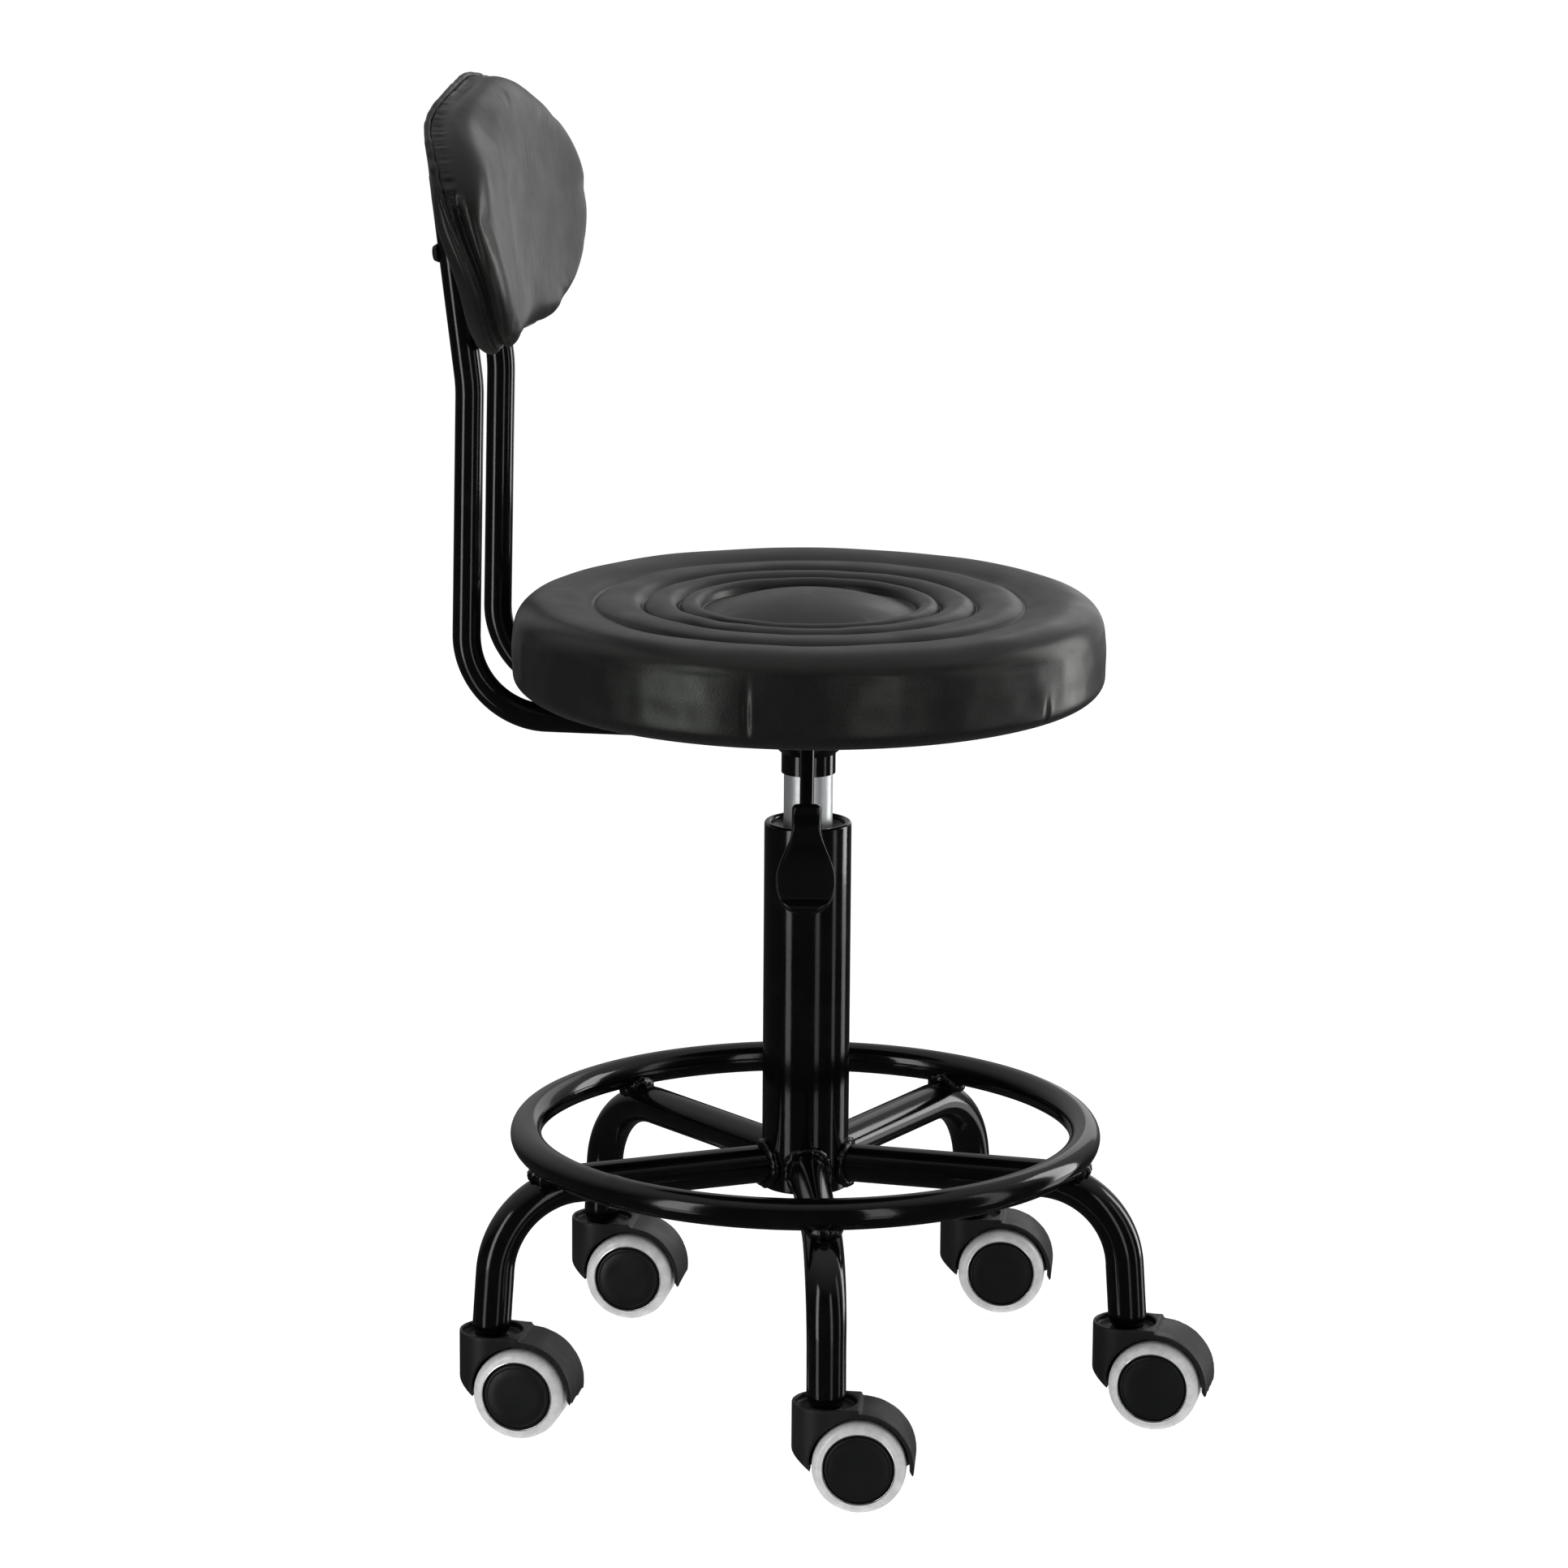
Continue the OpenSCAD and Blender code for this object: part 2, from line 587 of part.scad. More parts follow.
// Solid centre-line path of a leg with diameter d, in the leg's own plane
module leg_path(d) {
    straight_d = d - 2 * seam_step;
    translate([column_d / 4, 0, leg_height]) rotate([0, 90, 0])
        cylinder(d = straight_d, h = leg_arc_x - column_d / 4 + seam_lap);
    translate([leg_arc_x, 0, leg_arc_z]) rotate([90, 0, 0]) rotate([0, 0, leg_splay])
        rotate_extrude(angle = 90 - leg_splay) translate([leg_bend_r, 0]) circle(d = d);
    translate([leg_arc_x + leg_bend_r * cos(leg_splay), 0, leg_arc_z + leg_bend_r * sin(leg_splay)])
        rotate([0, 180 - leg_splay, 0]) translate([0, 0, -seam_lap]) cylinder(d = straight_d, h = 60);
}

module leg(i) color("#121214") difference() {
    at_leg(i) leg_path(leg_d);
    at_leg(i) leg_path(leg_d - 2 * leg_wall);
    from_floor() translate([0, 0, leg_height - leg_d]) cylinder(d = column_d, h = 2 * leg_d);
    at_leg(i) translate([leg_foot_r - 30, -30, leg_end_z - 60]) cube([60, 60, 60]);
}

module foot_ring() color("#121214") from_floor() translate([0, 0, ring_z])
    rotate_extrude() translate([ring_r, 0]) tube_section(ring_d, leg_wall);

module leg_plugs() color("#2a2a2c") for (i = legs) difference() {
    at_leg(i) translate([leg_arc_x + leg_bend_r * cos(leg_splay), 0, leg_arc_z + leg_bend_r * sin(leg_splay)])
        rotate([0, 180 - leg_splay, 0]) cylinder(d = leg_d - 2 * leg_wall - plug_play, h = 50);
    at_leg(i) translate([leg_foot_r - 30, -30, leg_end_z - 60]) cube([60, 60, 60]);
    at_leg(i) translate([leg_foot_r - 30, -30, plug_top_z]) cube([60, 60, 60]);
    at_leg(i) translate([caster_r, 0, 0]) cylinder(r = stem_r + 0.02, h = stem_top + 0.1);
}

module caster_stems() color("#aeb2b6") for (i = legs) at_leg(i) translate([caster_r, 0, 0]) {
    translate([0, 0, stem_bottom]) cylinder(r = stem_low_r, h = stem_flange_bottom - stem_bottom + 0.5);
    translate([0, 0, stem_flange_bottom]) cylinder(r = stem_flange_r, h = stem_flange_top - stem_flange_bottom);
    translate([0, 0, stem_flange_top - 0.5]) cylinder(r = stem_r, h = stem_top - stem_flange_top + 0.5);
}

// ---------- casters ----------

// Outline of the hood seen from the side, with X along the trail and Y up
module hood_side() {
    intersection() {
        union() {
            translate([caster_trail, wheel_r]) circle(r = hood_out_r);
            polygon([
                [-hood_round_r - 1, 30],
                [-9, 14],
                [caster_trail, 13],
                [caster_trail, hood_top],
                [-hood_round_r - 1, hood_top]
            ]);
        }
        polygon([
            [-hood_round_r - 2, 60],
            [-hood_round_r - 2, 33],
            [-8, 18],
            [6, 15],
            [34, 15],
            [caster_trail + hood_well_r, 24],
            [caster_trail + hood_out_r, 19.5],
            [60, 30],
            [60, 60]
        ]);
    }
}

// Outline of the hood seen from above, round over the stem and straight along the wheels
module hood_plan() {
    circle(r = hood_round_r);
    polygon([
        [0, -hood_round_r],
        [14, -hood_half_w],
        [60, -hood_half_w],
        [60, hood_half_w],
        [14, hood_half_w],
        [0, hood_round_r]
    ]);
}

module caster_hood(i) color("#1d1e20") at_caster(i) difference() {
    intersection() {
        translate([0, 50, 0]) rotate([90, 0, 0]) linear_extrude(100) hood_side();
        linear_extrude(80) hood_plan();
    }
    for (side = [-1, 1]) translate([caster_trail, side * (hood_web_half + 15), wheel_r]) rotate([90, 0, 0])
        cylinder(r = hood_well_r, h = 30, center = true);
    translate([0, 0, hood_floor]) cylinder(r = hood_recess_r, h = 10);
    translate([0, 0, stem_bottom - 1]) cylinder(r = stem_low_r + fit_gap, h = 40);
    translate([caster_trail, 20, wheel_r]) rotate([90, 0, 0]) cylinder(r = axle_r + 0.02, h = 40);
}

module caster_axle(i) color("#aeb2b6") at_caster(i)
    translate([caster_trail, axle_half_len - 1, wheel_r]) rotate([90, 0, 0])
        cylinder(r = axle_r, h = 2 * axle_half_len - 2);

// Wheel, drawn around +Z from its inner face
module caster_wheel() {
    difference() {
        rotate_extrude() polygon(concat(
            [[0, 0]],
            arc(wheel_r - 2, 2, 2, -90, 0, 4),
            arc(wheel_r - wheel_round, wheel_w - wheel_round, wheel_round, 0, 90),
            [[hub_recess_r, wheel_w], [hub_recess_r - hub_recess_depth, wheel_w - hub_recess_depth]],
            [[0, wheel_w - hub_recess_depth]]
        ));
        translate([0, 0, -1]) cylinder(r = axle_r + fit_gap, h = axle_half_len - wheel_gap / 2 + 1);
    }
}

// The right wheel is the one on the right of the caster's direction of trail
module caster_wheel_at(i, side) at_caster(i) translate([caster_trail, side * wheel_gap / 2, wheel_r])
    rotate([-90 * side, 0, 0]) caster_wheel();

column_tube();
column_bushing();
column_end_cap();
foot_ring();
leg_plugs();
caster_stems();
thrust_bearing();
piston_rod();
piston();
rod_clip();
bump_stop();
gas_cylinder();
cylinder_gland();
release_pin();
taper_socket();
mounting_plate();
lever_pivot_pin();
lever_rod();
lever_paddle();
backrest_bracket();
seat_screws();
seat_tee_nuts();
seat_board();
seat_foam();
seat_cover();
backrest_tube_right();
backrest_tube_left();
backrest_tube_plugs();
backrest_board();
backrest_foam();
backrest_cover();
backrest_bolts();
backrest_tee_nuts();
for (i = legs) {
    leg(i);
    caster_hood(i);
    caster_axle(i);
    color("#c6c9cc") caster_wheel_at(i, 1);
    color("#c6c9cc") caster_wheel_at(i, -1);
}
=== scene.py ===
"""Looks of the adjustable swivel stool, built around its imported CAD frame.

Metres, in the CAD frame: the origin is the centre of the seat's top face, on the swivel axis,
+Z is up and the sitter faces -Y. Each piece rides on the CAD body that it belongs to.
"""

import json
import math

import bmesh
import bpy
from mathutils import Matrix, Vector, noise


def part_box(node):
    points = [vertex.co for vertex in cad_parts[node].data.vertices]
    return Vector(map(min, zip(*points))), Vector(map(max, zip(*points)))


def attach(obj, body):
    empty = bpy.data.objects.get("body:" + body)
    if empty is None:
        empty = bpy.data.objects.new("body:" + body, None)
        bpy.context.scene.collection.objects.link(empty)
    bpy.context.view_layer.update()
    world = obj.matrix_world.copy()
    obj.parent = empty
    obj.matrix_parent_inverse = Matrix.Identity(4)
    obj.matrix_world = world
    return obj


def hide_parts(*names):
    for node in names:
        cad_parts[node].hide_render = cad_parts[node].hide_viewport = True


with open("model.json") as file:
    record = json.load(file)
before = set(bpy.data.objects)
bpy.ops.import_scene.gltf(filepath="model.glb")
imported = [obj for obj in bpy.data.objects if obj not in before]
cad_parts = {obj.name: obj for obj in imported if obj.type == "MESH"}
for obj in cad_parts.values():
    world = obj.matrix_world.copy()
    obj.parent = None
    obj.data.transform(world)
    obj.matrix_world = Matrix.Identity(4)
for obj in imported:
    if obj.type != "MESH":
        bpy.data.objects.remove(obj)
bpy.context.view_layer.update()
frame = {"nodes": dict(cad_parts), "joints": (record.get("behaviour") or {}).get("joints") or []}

# ---------- sizes, in metres ----------

# Angles are in radians. PAD_ARCH is a share of the pad's lower half, and the powers shape its outline.
LEGS = range(1, 6)
SIDES = ("right", "left")
LEG_R = 0.011
LEG_BEND_R = 0.05
LEG_SPLAY = math.radians(4)
WELD_LIFT = 0.0006
COLUMN_WELD_R = 0.0029
RING_WELD_R = 0.0038
RING_WELD_HALF_W = 0.0068
RING_WELD_HALF_L = 0.0072
BACK_TUBE_R = 0.008
BACK_BEND_R = 0.046
BACK_KNEE_R = 0.09
BACK_REACH = 0.189
BACK_FORWARD = math.radians(1)
BACK_KNEE_HEIGHT = 0.587
BACK_TOP_HEIGHT = 0.711
BACK_LEAN = math.radians(7)
BACK_GAUGE = 0.09
LEVER_R = 0.004
LEVER_SLOPE = math.radians(28)
LEVER_BEND_X = 0.038
LEVER_BEND_R = 0.012
LEVER_PIVOT_X = 0.032
LEVER_TIP_X = -0.006
HANDLE_LEN = 0.035
PADDLE_LEN = 0.063
PAD_HALF_W = 0.151
PAD_UP = 0.077
PAD_DOWN = 0.079
PAD_ARCH = 0.14
PAD_ARCH_W = 0.060
PAD_THICK = 0.026
PAD_WRAP = 0.012
PAD_CROWN = 0.0008
PAD_BULGE_DEPTH = 0.014
PAD_PUFF = 0.0016
PAD_HEIGHT = 0.684
PAD_UPPER_POWER = 1.7
PAD_NEAR_POWER = 2.1
PAD_LOWER_POWER = 2.2
PAD_FACE_ROWS = 12
PAD_SEAM_ROW = PAD_FACE_ROWS + 12
CUSHION_SIDES = 160
CUSHION_PRESSURE = 4.0
SEAT_PUFF = 0.0014
WHEEL_WIDTH = 0.017
WHEEL_INNER = 0.005
SHARP_EDGE = math.radians(30)

# Places round the pad's edge, as (centre, width) in degrees, and the sizes of what happens there
PAD_FLARED = ((60, 25), (2, 18), (312, 14))
PAD_GATHERED = ((138, 34), (42, 34))
PAD_FOLDED = ((212, 30), (328, 30))
PAD_TIGHT_FOLDS = ((238, 18), (302, 18))
PAD_TIPS = ((236, 4), (304, 4))
PAD_DENTS = ((170, 7), (10, 7))
PAD_FLARE = 0.001
GATHER_RISE = 0.0019
FOLD_RISE = 0.0009
FOLD_PITCH = 0.0058
FOLD_TIGHTENING = 0.0026
TIP_RISE = 0.002
DENT_DEPTH = 0.0026
FACE_LINE_RISE = 0.0003

# The seat's half section: sewn grooves as (radius, height), and crests of the rolls between them
GROOVES = ((0.0606, -0.0090), (0.0742, -0.0083), (0.0945, -0.0076), (0.122, -0.0058))
CRESTS = (-0.0027, -0.0018, -0.001)
DOME_TOP = 0.0036
BAND_CREST = 0.0009
BAND_CREST_R = 0.146
HEM_LIFT = 0.002
BOTTOM_ROUND_W = 0.02
BOTTOM_ROUND_H = 0.012
BOARD_R = 0.1385
SIDE_BULGE = 0.0008
SIDE_RIPPLE = 0.0006
ROLL_PULL = 0.0005

# Folds of the seat's cover: direction in degrees, depth below the top, half length across in degrees,
# half height, depth of the dent
SIDE_FOLDS = (
    (176.6, -0.034, 0.5, 0.013, 0.0015),
    (177.7, -0.031, 0.6, 0.012, -0.0003),
    (239.5, -0.044, 0.45, 0.006, 0.001),
    (240.6, -0.044, 0.5, 0.006, -0.0005),
    (196, -0.0145, 5, 0.0022, 0.0009),
    (202, -0.0125, 6, 0.0018, -0.0006),
    (222, -0.0125, 8, 0.0025, 0.0010),
    (233, -0.0165, 6, 0.0022, 0.0008),
    (216, -0.009, 9, 0.002, -0.0006),
    (250, -0.013, 5, 0.003, 0.0008),
    (168, -0.012, 7, 0.0022, 0.0006),
    (148, -0.014, 6, 0.0025, 0.0007),
    (118, -0.015, 7, 0.003, 0.0007),
    (60, -0.013, 8, 0.0025, 0.0008),
    (20, -0.014, 6, 0.0025, 0.0007),
    (330, -0.013, 8, 0.0025, 0.0008),
    (292, -0.036, 0.5, 0.01, 0.001),
    (34, -0.036, 0.5, 0.011, 0.001),
)

# The camera, in degrees, metres and millimetres of lens
VIEW_AZIMUTH = 278.2
VIEW_ELEVATION = 13.05
VIEW_ROLL = 0.486
VIEW_DISTANCE = 3.313
VIEW_TARGET = 0.3623
VIEW_LENS = 133.3
VIEW_SHIFT = -0.0155
SOFTBOX_DISTANCE = 2.2

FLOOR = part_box("caster_1_wheel_right")[0].z


def above_floor(height):
    """The z of a height above the floor."""
    return FLOOR + height


def joint(name):
    """A joint of the CAD frame, by name."""
    return next(j for j in frame["joints"] if j["name"] == name)


# ---------- materials ----------


class Look:
    """A material under construction: one Principled shader and the nodes that feed it."""

    def __init__(self, name, color, roughness, metallic=0.0, specular=0.5):
        self.material = bpy.data.materials.new(name)
        self.material.use_nodes = True
        self.nodes = self.material.node_tree.nodes
        self.links = self.material.node_tree.links
        self.shader = self.nodes["Principled BSDF"]
        self.color = color
        self.set("Base Color", (*color, 1))
        self.set("Roughness", roughness)
        self.set("Metallic", metallic)
        self.set("Specular IOR Level", specular)
        self.place = self.nodes.new("ShaderNodeTexCoord").outputs["Object"]
        self.normal = None

    def set(self, socket, value):
        """Sets one of the shader's own sockets."""
        self.shader.inputs[socket].default_value = value

    def scaled(self, scale):
        """The object's coordinates, scaled by a number or by three."""
        mapping = self.nodes.new("ShaderNodeMapping")
        mapping.inputs["Scale"].default_value = scale if isinstance(scale, tuple) else (scale,) * 3
        self.links.new(self.place, mapping.inputs["Vector"])
        return mapping.outputs["Vector"]

    def noise(self, scale, detail=3.0, rough=0.5):
        """A noise pattern with cells of about 1 / scale metres."""
        node = self.nodes.new("ShaderNodeTexNoise")
        node.inputs["Scale"].default_value = 1.0
        node.inputs["Detail"].default_value = detail
        node.inputs["Roughness"].default_value = rough
        self.links.new(self.scaled(scale), node.inputs["Vector"])
        return node.outputs["Fac"]

    def cells(self, scale, feature="F1"):
        """A cell pattern, with cells of about 1 / scale metres."""
        node = self.nodes.new("ShaderNodeTexVoronoi")
        node.feature = feature
        node.inputs["Scale"].default_value = 1.0
        self.links.new(self.scaled(scale), node.inputs["Vector"])
        return node.outputs["Distance"]

    def spread(self, value, low, high, from_low=0.3, from_high=0.7):
        """Maps a pattern onto the range from low to high."""
        node = self.nodes.new("ShaderNodeMapRange")
        node.inputs["From Min"].default_value = from_low
        node.inputs["From Max"].default_value = from_high
        node.inputs["To Min"].default_value = low
        node.inputs["To Max"].default_value = high
        self.links.new(value, node.inputs["Value"])
        return node.outputs["Result"]

    def vary_color(self, value, other, from_low=0.35, from_high=0.65):
        """Mixes another colour in where the pattern is high."""
        mix = self.nodes.new("ShaderNodeMix")
        mix.data_type = "RGBA"
        mix.inputs["A"].default_value = (*self.color, 1)
        mix.inputs["B"].default_value = (*other, 1)
        self.links.new(self.spread(value, 0.0, 1.0, from_low, from_high), mix.inputs["Factor"])
        self.links.new(mix.outputs["Result"], self.shader.inputs["Base Color"])

    def vary_roughness(self, value, low, high, from_low=0.3, from_high=0.7):
        """Spreads the roughness between low and high by a pattern."""
        spread = self.spread(value, low, high, from_low, from_high)
        self.links.new(spread, self.shader.inputs["Roughness"])

    def bump(self, value, depth, strength=1.0):
        """Adds a bump layer of that depth, in metres."""
        node = self.nodes.new("ShaderNodeBump")
        node.inputs["Strength"].default_value = strength
        node.inputs["Distance"].default_value = depth
        self.links.new(value, node.inputs["Height"])
        if self.normal is not None:
            self.links.new(self.normal, node.inputs["Normal"])
        self.normal = node.outputs["Normal"]
        self.links.new(self.normal, self.shader.inputs["Normal"])


def enamel():
    """Gloss black enamel with a faint orange peel and patches of dust and handling."""
    look = Look("black_enamel", (0.0018, 0.0018, 0.002), 0.12, specular=0.5)
    look.vary_roughness(look.noise(22, 4), 0.08, 0.17)
    look.vary_color(look.noise(60, 5, 0.65), (0.0042, 0.0042, 0.0042), 0.5, 0.75)
    look.bump(look.noise(420, 2), 0.00006, 0.35)
    return look.material


def weld():
    """Enamel over a rippled weld bead."""
    look = Look("painted_weld", (0.0018, 0.0018, 0.002), 0.16, specular=0.5)
    look.bump(look.noise(500, 2), 0.0003, 0.6)
    look.vary_roughness(look.noise(300, 2), 0.12, 0.26)
    return look.material


def leatherette():
    """Satin black synthetic leather with a fine pebble grain."""
    look = Look("black_leatherette", (0.0055, 0.0062, 0.0056), 0.34, specular=0.55)
    look.set("Specular Tint", (0.96, 1.0, 0.93, 1))
    look.set("Sheen Weight", 0.03)
    look.set("Sheen Roughness", 0.4)
    look.set("Sheen Tint", (0.9, 1.0, 0.9, 1))
    look.vary_roughness(look.noise(30, 5, 0.6), 0.3, 0.42)
    look.vary_color(look.noise(9, 4), (0.0075, 0.0084, 0.0077))
    look.bump(look.cells(1100), 0.00009, 0.35)
    look.bump(look.cells((620, 760, 690), "SMOOTH_F1"), 0.00012, 0.25)
    look.bump(look.noise(70, 4), 0.0003, 0.15)
    return look.material


def seam_thread():
    """Edge piping and turned-in seam of the leatherette, a little shinier where it is stretched."""
    look = Look("leatherette_piping", (0.0055, 0.006, 0.0056), 0.34, specular=0.5)
    look.vary_roughness(look.noise(180, 4), 0.26, 0.44)
    look.bump(look.cells(1300), 0.00007, 0.3)
    look.bump(look.noise(260, 3), 0.0003, 0.4)
    return look.material


def hood_plastic():
    """Matte black moulded plastic with a spark-eroded grain."""
    look = Look("hood_plastic", (0.0085, 0.009, 0.0092), 0.46, specular=0.45)
    look.vary_roughness(look.noise(55, 4), 0.4, 0.54)
    look.vary_color(look.noise(24, 4), (0.012, 0.0125, 0.013), 0.45, 0.7)
    look.bump(look.noise(1900, 3), 0.00004, 0.5)
    return look.material


def satin_plastic(name="satin_plastic", color=(0.009, 0.009, 0.0095), roughness=0.3):
    """Smooth black plastic of the plugs. The paddle and the column's guide have shades of their own."""
    look = Look(name, color, roughness, specular=0.45)
    look.vary_roughness(look.noise(40, 4), roughness - 0.05, roughness + 0.1)
    look.bump(look.noise(900, 2), 0.00003, 0.35)
    return look.material


def hub_plastic():
    """Smooth black hub cap with faint circular handling marks."""
    look = Look("hub_plastic", (0.0085, 0.009, 0.0095), 0.38, specular=0.4)
    look.vary_roughness(look.noise(90, 4), 0.32, 0.48)
    look.bump(look.noise(1400, 3), 0.00003, 0.4)
    return look.material


def tread_plastic():
    """Silver-grey wheel ring: lacquered plastic with a cloudy metallic flake and scuffs."""
    look = Look("silver_tread", (0.7, 0.71, 0.7), 0.3, metallic=0.1, specular=0.5)
    look.vary_color(look.noise(130, 6, 0.62), (0.86, 0.87, 0.86), 0.38, 0.62)
    look.vary_roughness(look.noise(210, 4), 0.24, 0.42)
    look.bump(look.noise(380, 4), 0.00012, 0.3)
    return look.material


def polished_rim():
    """Thin bright line round the hub cap."""
    look = Look("polished_rim", (0.86, 0.87, 0.88), 0.12, metallic=1.0)
    look.vary_roughness(look.noise(220, 3), 0.08, 0.2)
    return look.material


def chrome():
    """Ground and chromed cylinder, with fine rings left by the grinding."""
    look = Look("ground_chrome", (0.82, 0.84, 0.85), 0.42, metallic=0.88)
    look.vary_roughness(look.noise((40, 40, 2600), 3), 0.36, 0.5)
    look.bump(look.noise((30, 30, 3600), 2), 0.00001, 0.4)
    return look.material


def zinc():
    """Zinc-plated steel with a cloudy passivated surface."""
    look = Look("zinc_plate", (0.56, 0.57, 0.58), 0.34, metallic=1.0)
    look.vary_color(look.noise(160, 5), (0.44, 0.45, 0.46))
    look.vary_roughness(look.noise(240, 4), 0.25, 0.45)
    look.bump(look.noise(900, 3), 0.00003, 0.4)
    return look.material


def black_steel():
    """Blackened steel of the backrest bolts."""
    look = Look("blackened_steel", (0.02, 0.02, 0.021), 0.35, metallic=0.6)
    look.vary_roughness(look.noise(300, 3), 0.28, 0.45)
    return look.material


def plywood():
    """Dark stained plywood: long grain, growth bands and small dark flecks."""
    look = Look("stained_plywood", (0.03, 0.023, 0.018), 0.62, specular=0.3)
    look.vary_color(look.noise((14, 160, 90), 6, 0.6), (0.017, 0.013, 0.01), 0.35, 0.68)
    look.vary_roughness(look.noise((30, 300, 200), 4), 0.52, 0.74)
    look.bump(look.noise((25, 900, 500), 4), 0.00015, 0.5)
    return look.material


def rubber():
    """Black rubber."""
    look = Look("black_rubber", (0.012, 0.012, 0.012), 0.7, specular=0.3)
    look.bump(look.noise(700, 3), 0.00008, 0.5)
    return look.material


def paint_node(name, material):
    """Gives a carried-over CAD node its finish."""
    mesh = frame["nodes"][name].data
    mesh.materials.clear()
    mesh.materials.append(material)


# ---------- mesh helpers ----------


def new_object(name, verts, faces):
    """A mesh object, linked to the scene."""
    mesh = bpy.data.meshes.new(name)
    mesh.from_pydata(verts, [], faces)
    obj = bpy.data.objects.new(name, mesh)
    bpy.context.collection.objects.link(obj)
    return obj


def copy_of_node(node, name):
    """A linked copy of a CAD node, to be worked on."""
    obj = bpy.data.objects.new(name, frame["nodes"][node].data.copy())
    bpy.context.collection.objects.link(obj)
    return obj


def dress(obj, *materials):
    """Gives a mesh its materials, and smooths its shading."""
    obj.data.materials.clear()
    for material in materials:
        obj.data.materials.append(material)
    obj.data.polygons.foreach_set("use_smooth", [True] * len(obj.data.polygons))


def place_piece(obj, body, replaces=()):
    """Hangs an object on its body."""
    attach(obj, body)
    if replaces:
        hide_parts(*replaces)


def new_piece(name, mesh, materials, body, replaces=(), face_materials=None):
    """Makes a piece from a mesh, as (verts, faces), and hangs it on its body."""
    obj = new_object(name, *mesh)
    dress(obj, *materials)
    if face_materials is not None:
        obj.data.polygons.foreach_set("material_index", face_materials)
    place_piece(obj, body, replaces)


def axes_matrix(x, y, z, origin):
    """The matrix of the frame that has these axes and this origin."""
    return Matrix.Translation(origin) @ Matrix((x, y, z)).transposed().to_4x4()


def tube_faces(rows, around):
    """Faces between rows of points, where each row runs round the tube."""
    faces = []
    for row in range(rows - 1):
        for k in range(around):
            m = (k + 1) % around
            near, far = row * around, (row + 1) * around
            faces.append((near + k, far + k, far + m, near + m))
    return faces


def join_parts(parts):
    """Joins (verts, faces) meshes into one."""
    verts, faces = [], []
    for v, f in parts:
        start = len(verts)
        verts.extend(v)
        faces.extend([tuple(i + start for i in face) for face in f])
    return verts, faces


def rounded_path(corners, radii, step=0.0015):
    """Points along straight lines whose inner corners are rounded with the given radii."""
    points = [Vector(corners[0])]
    for before, corner, after, radius in zip(corners, corners[1:], corners[2:], radii):
        before, corner, after = Vector(before), Vector(corner), Vector(after)
        a, b = (before - corner).normalized(), (after - corner).normalized()
        turn = math.pi - a.angle(b)
        reach = radius * math.tan(turn / 2)
        centre = corner + (a + b).normalized() * radius / math.cos(turn / 2)
        first, last = corner + a * reach, corner + b * reach
        add_straight(points, first, 0.006)
        count = max(4, math.ceil(radius * turn / step))
        for k in range(1, count + 1):
            spin = Matrix.Rotation(turn * k / count, 3, (first - centre).cross(last - centre))
            points.append(centre + spin @ (first - centre))
    add_straight(points, Vector(corners[-1]), 0.006)
    return points


def add_straight(points, end, step):
    """Continues a path in a straight line to end."""
    start = points[-1].copy()
    count = max(1, math.ceil((end - start).length / step))
    for k in range(1, count + 1):
        points.append(start.lerp(end, k / count))


def sweep(points, radius, sides=32, closed=False, capped=True, shape=None):
    """A round tube along points. radius is a number, or a function of (share of the way, angle
    round); shape is the direction that the angle starts from."""
    count = len(points)
    verts, faces = [], []
    side = None if shape is None else Vector(shape)
    for i, p in enumerate(points):
        before = points[i - 1] if i or closed else p
        after = points[(i + 1) % count] if i < count - 1 or closed else p
        tangent = (after - before).normalized()
        if side is None:
            side = tangent.orthogonal().normalized()
        side = (side - tangent * side.dot(tangent)).normalized()
        up = tangent.cross(side)
        for k in range(sides):
            a = 2 * math.pi * k / sides
            r = radius(i / max(1, count - 1), a) if callable(radius) else radius
            verts.append(p + (side * math.cos(a) + up * math.sin(a)) * r)
    rows = count if closed else count - 1
    for i in range(rows):
        for k in range(sides):
            n, m = (i + 1) % count, (k + 1) % sides
            faces.append((i * sides + k, i * sides + m, n * sides + m, n * sides + k))
    if capped and not closed:
        faces.append(tuple(reversed(range(sides))))
        faces.append(tuple((count - 1) * sides + k for k in range(sides)))
    return verts, faces


def lathe(profile, steps=96, matrix=None, closed=False):
    """Turns a profile of (radius, height) round +Z. Points on the axis become one vertex."""
    verts, faces, rings = [], [], []
    turns = [2 * math.pi * k / steps for k in range(steps)]
    for r, z in profile:
        if r < 1e-6:
            rings.append([len(verts)] * steps)
            verts.append(Vector((0, 0, z)))
        else:
            rings.append(list(range(len(verts), len(verts) + steps)))
            verts.extend(Vector((r * math.cos(a), r * math.sin(a), z)) for a in turns)
    pairs = list(zip(rings, rings[1:]))
    if closed:
        pairs.append((rings[-1], rings[0]))
    for low, high in pairs:
        for k in range(steps):
            m = (k + 1) % steps
            face = [low[k], low[m], high[m], high[k]]
            face = tuple(v for n, v in enumerate(face) if v != face[n - 1])
            if len(face) > 2:
                faces.append(face)
    if matrix is not None:
        verts = [matrix @ v for v in verts]
    return verts, faces


def arc(cx, cy, r, a0, a1, steps=8):
    """Points on an arc, in degrees."""
    angles = [math.radians(a0 + (a1 - a0) * k / steps) for k in range(steps + 1)]
    return [(cx + r * math.cos(a), cy + r * math.sin(a)) for a in angles]


def modify(obj, kind, **settings):
    """Adds a modifier with these settings."""
    mod = obj.modifiers.new(kind.lower(), kind)
    for key, value in settings.items():
        setattr(mod, key, value)
    return mod


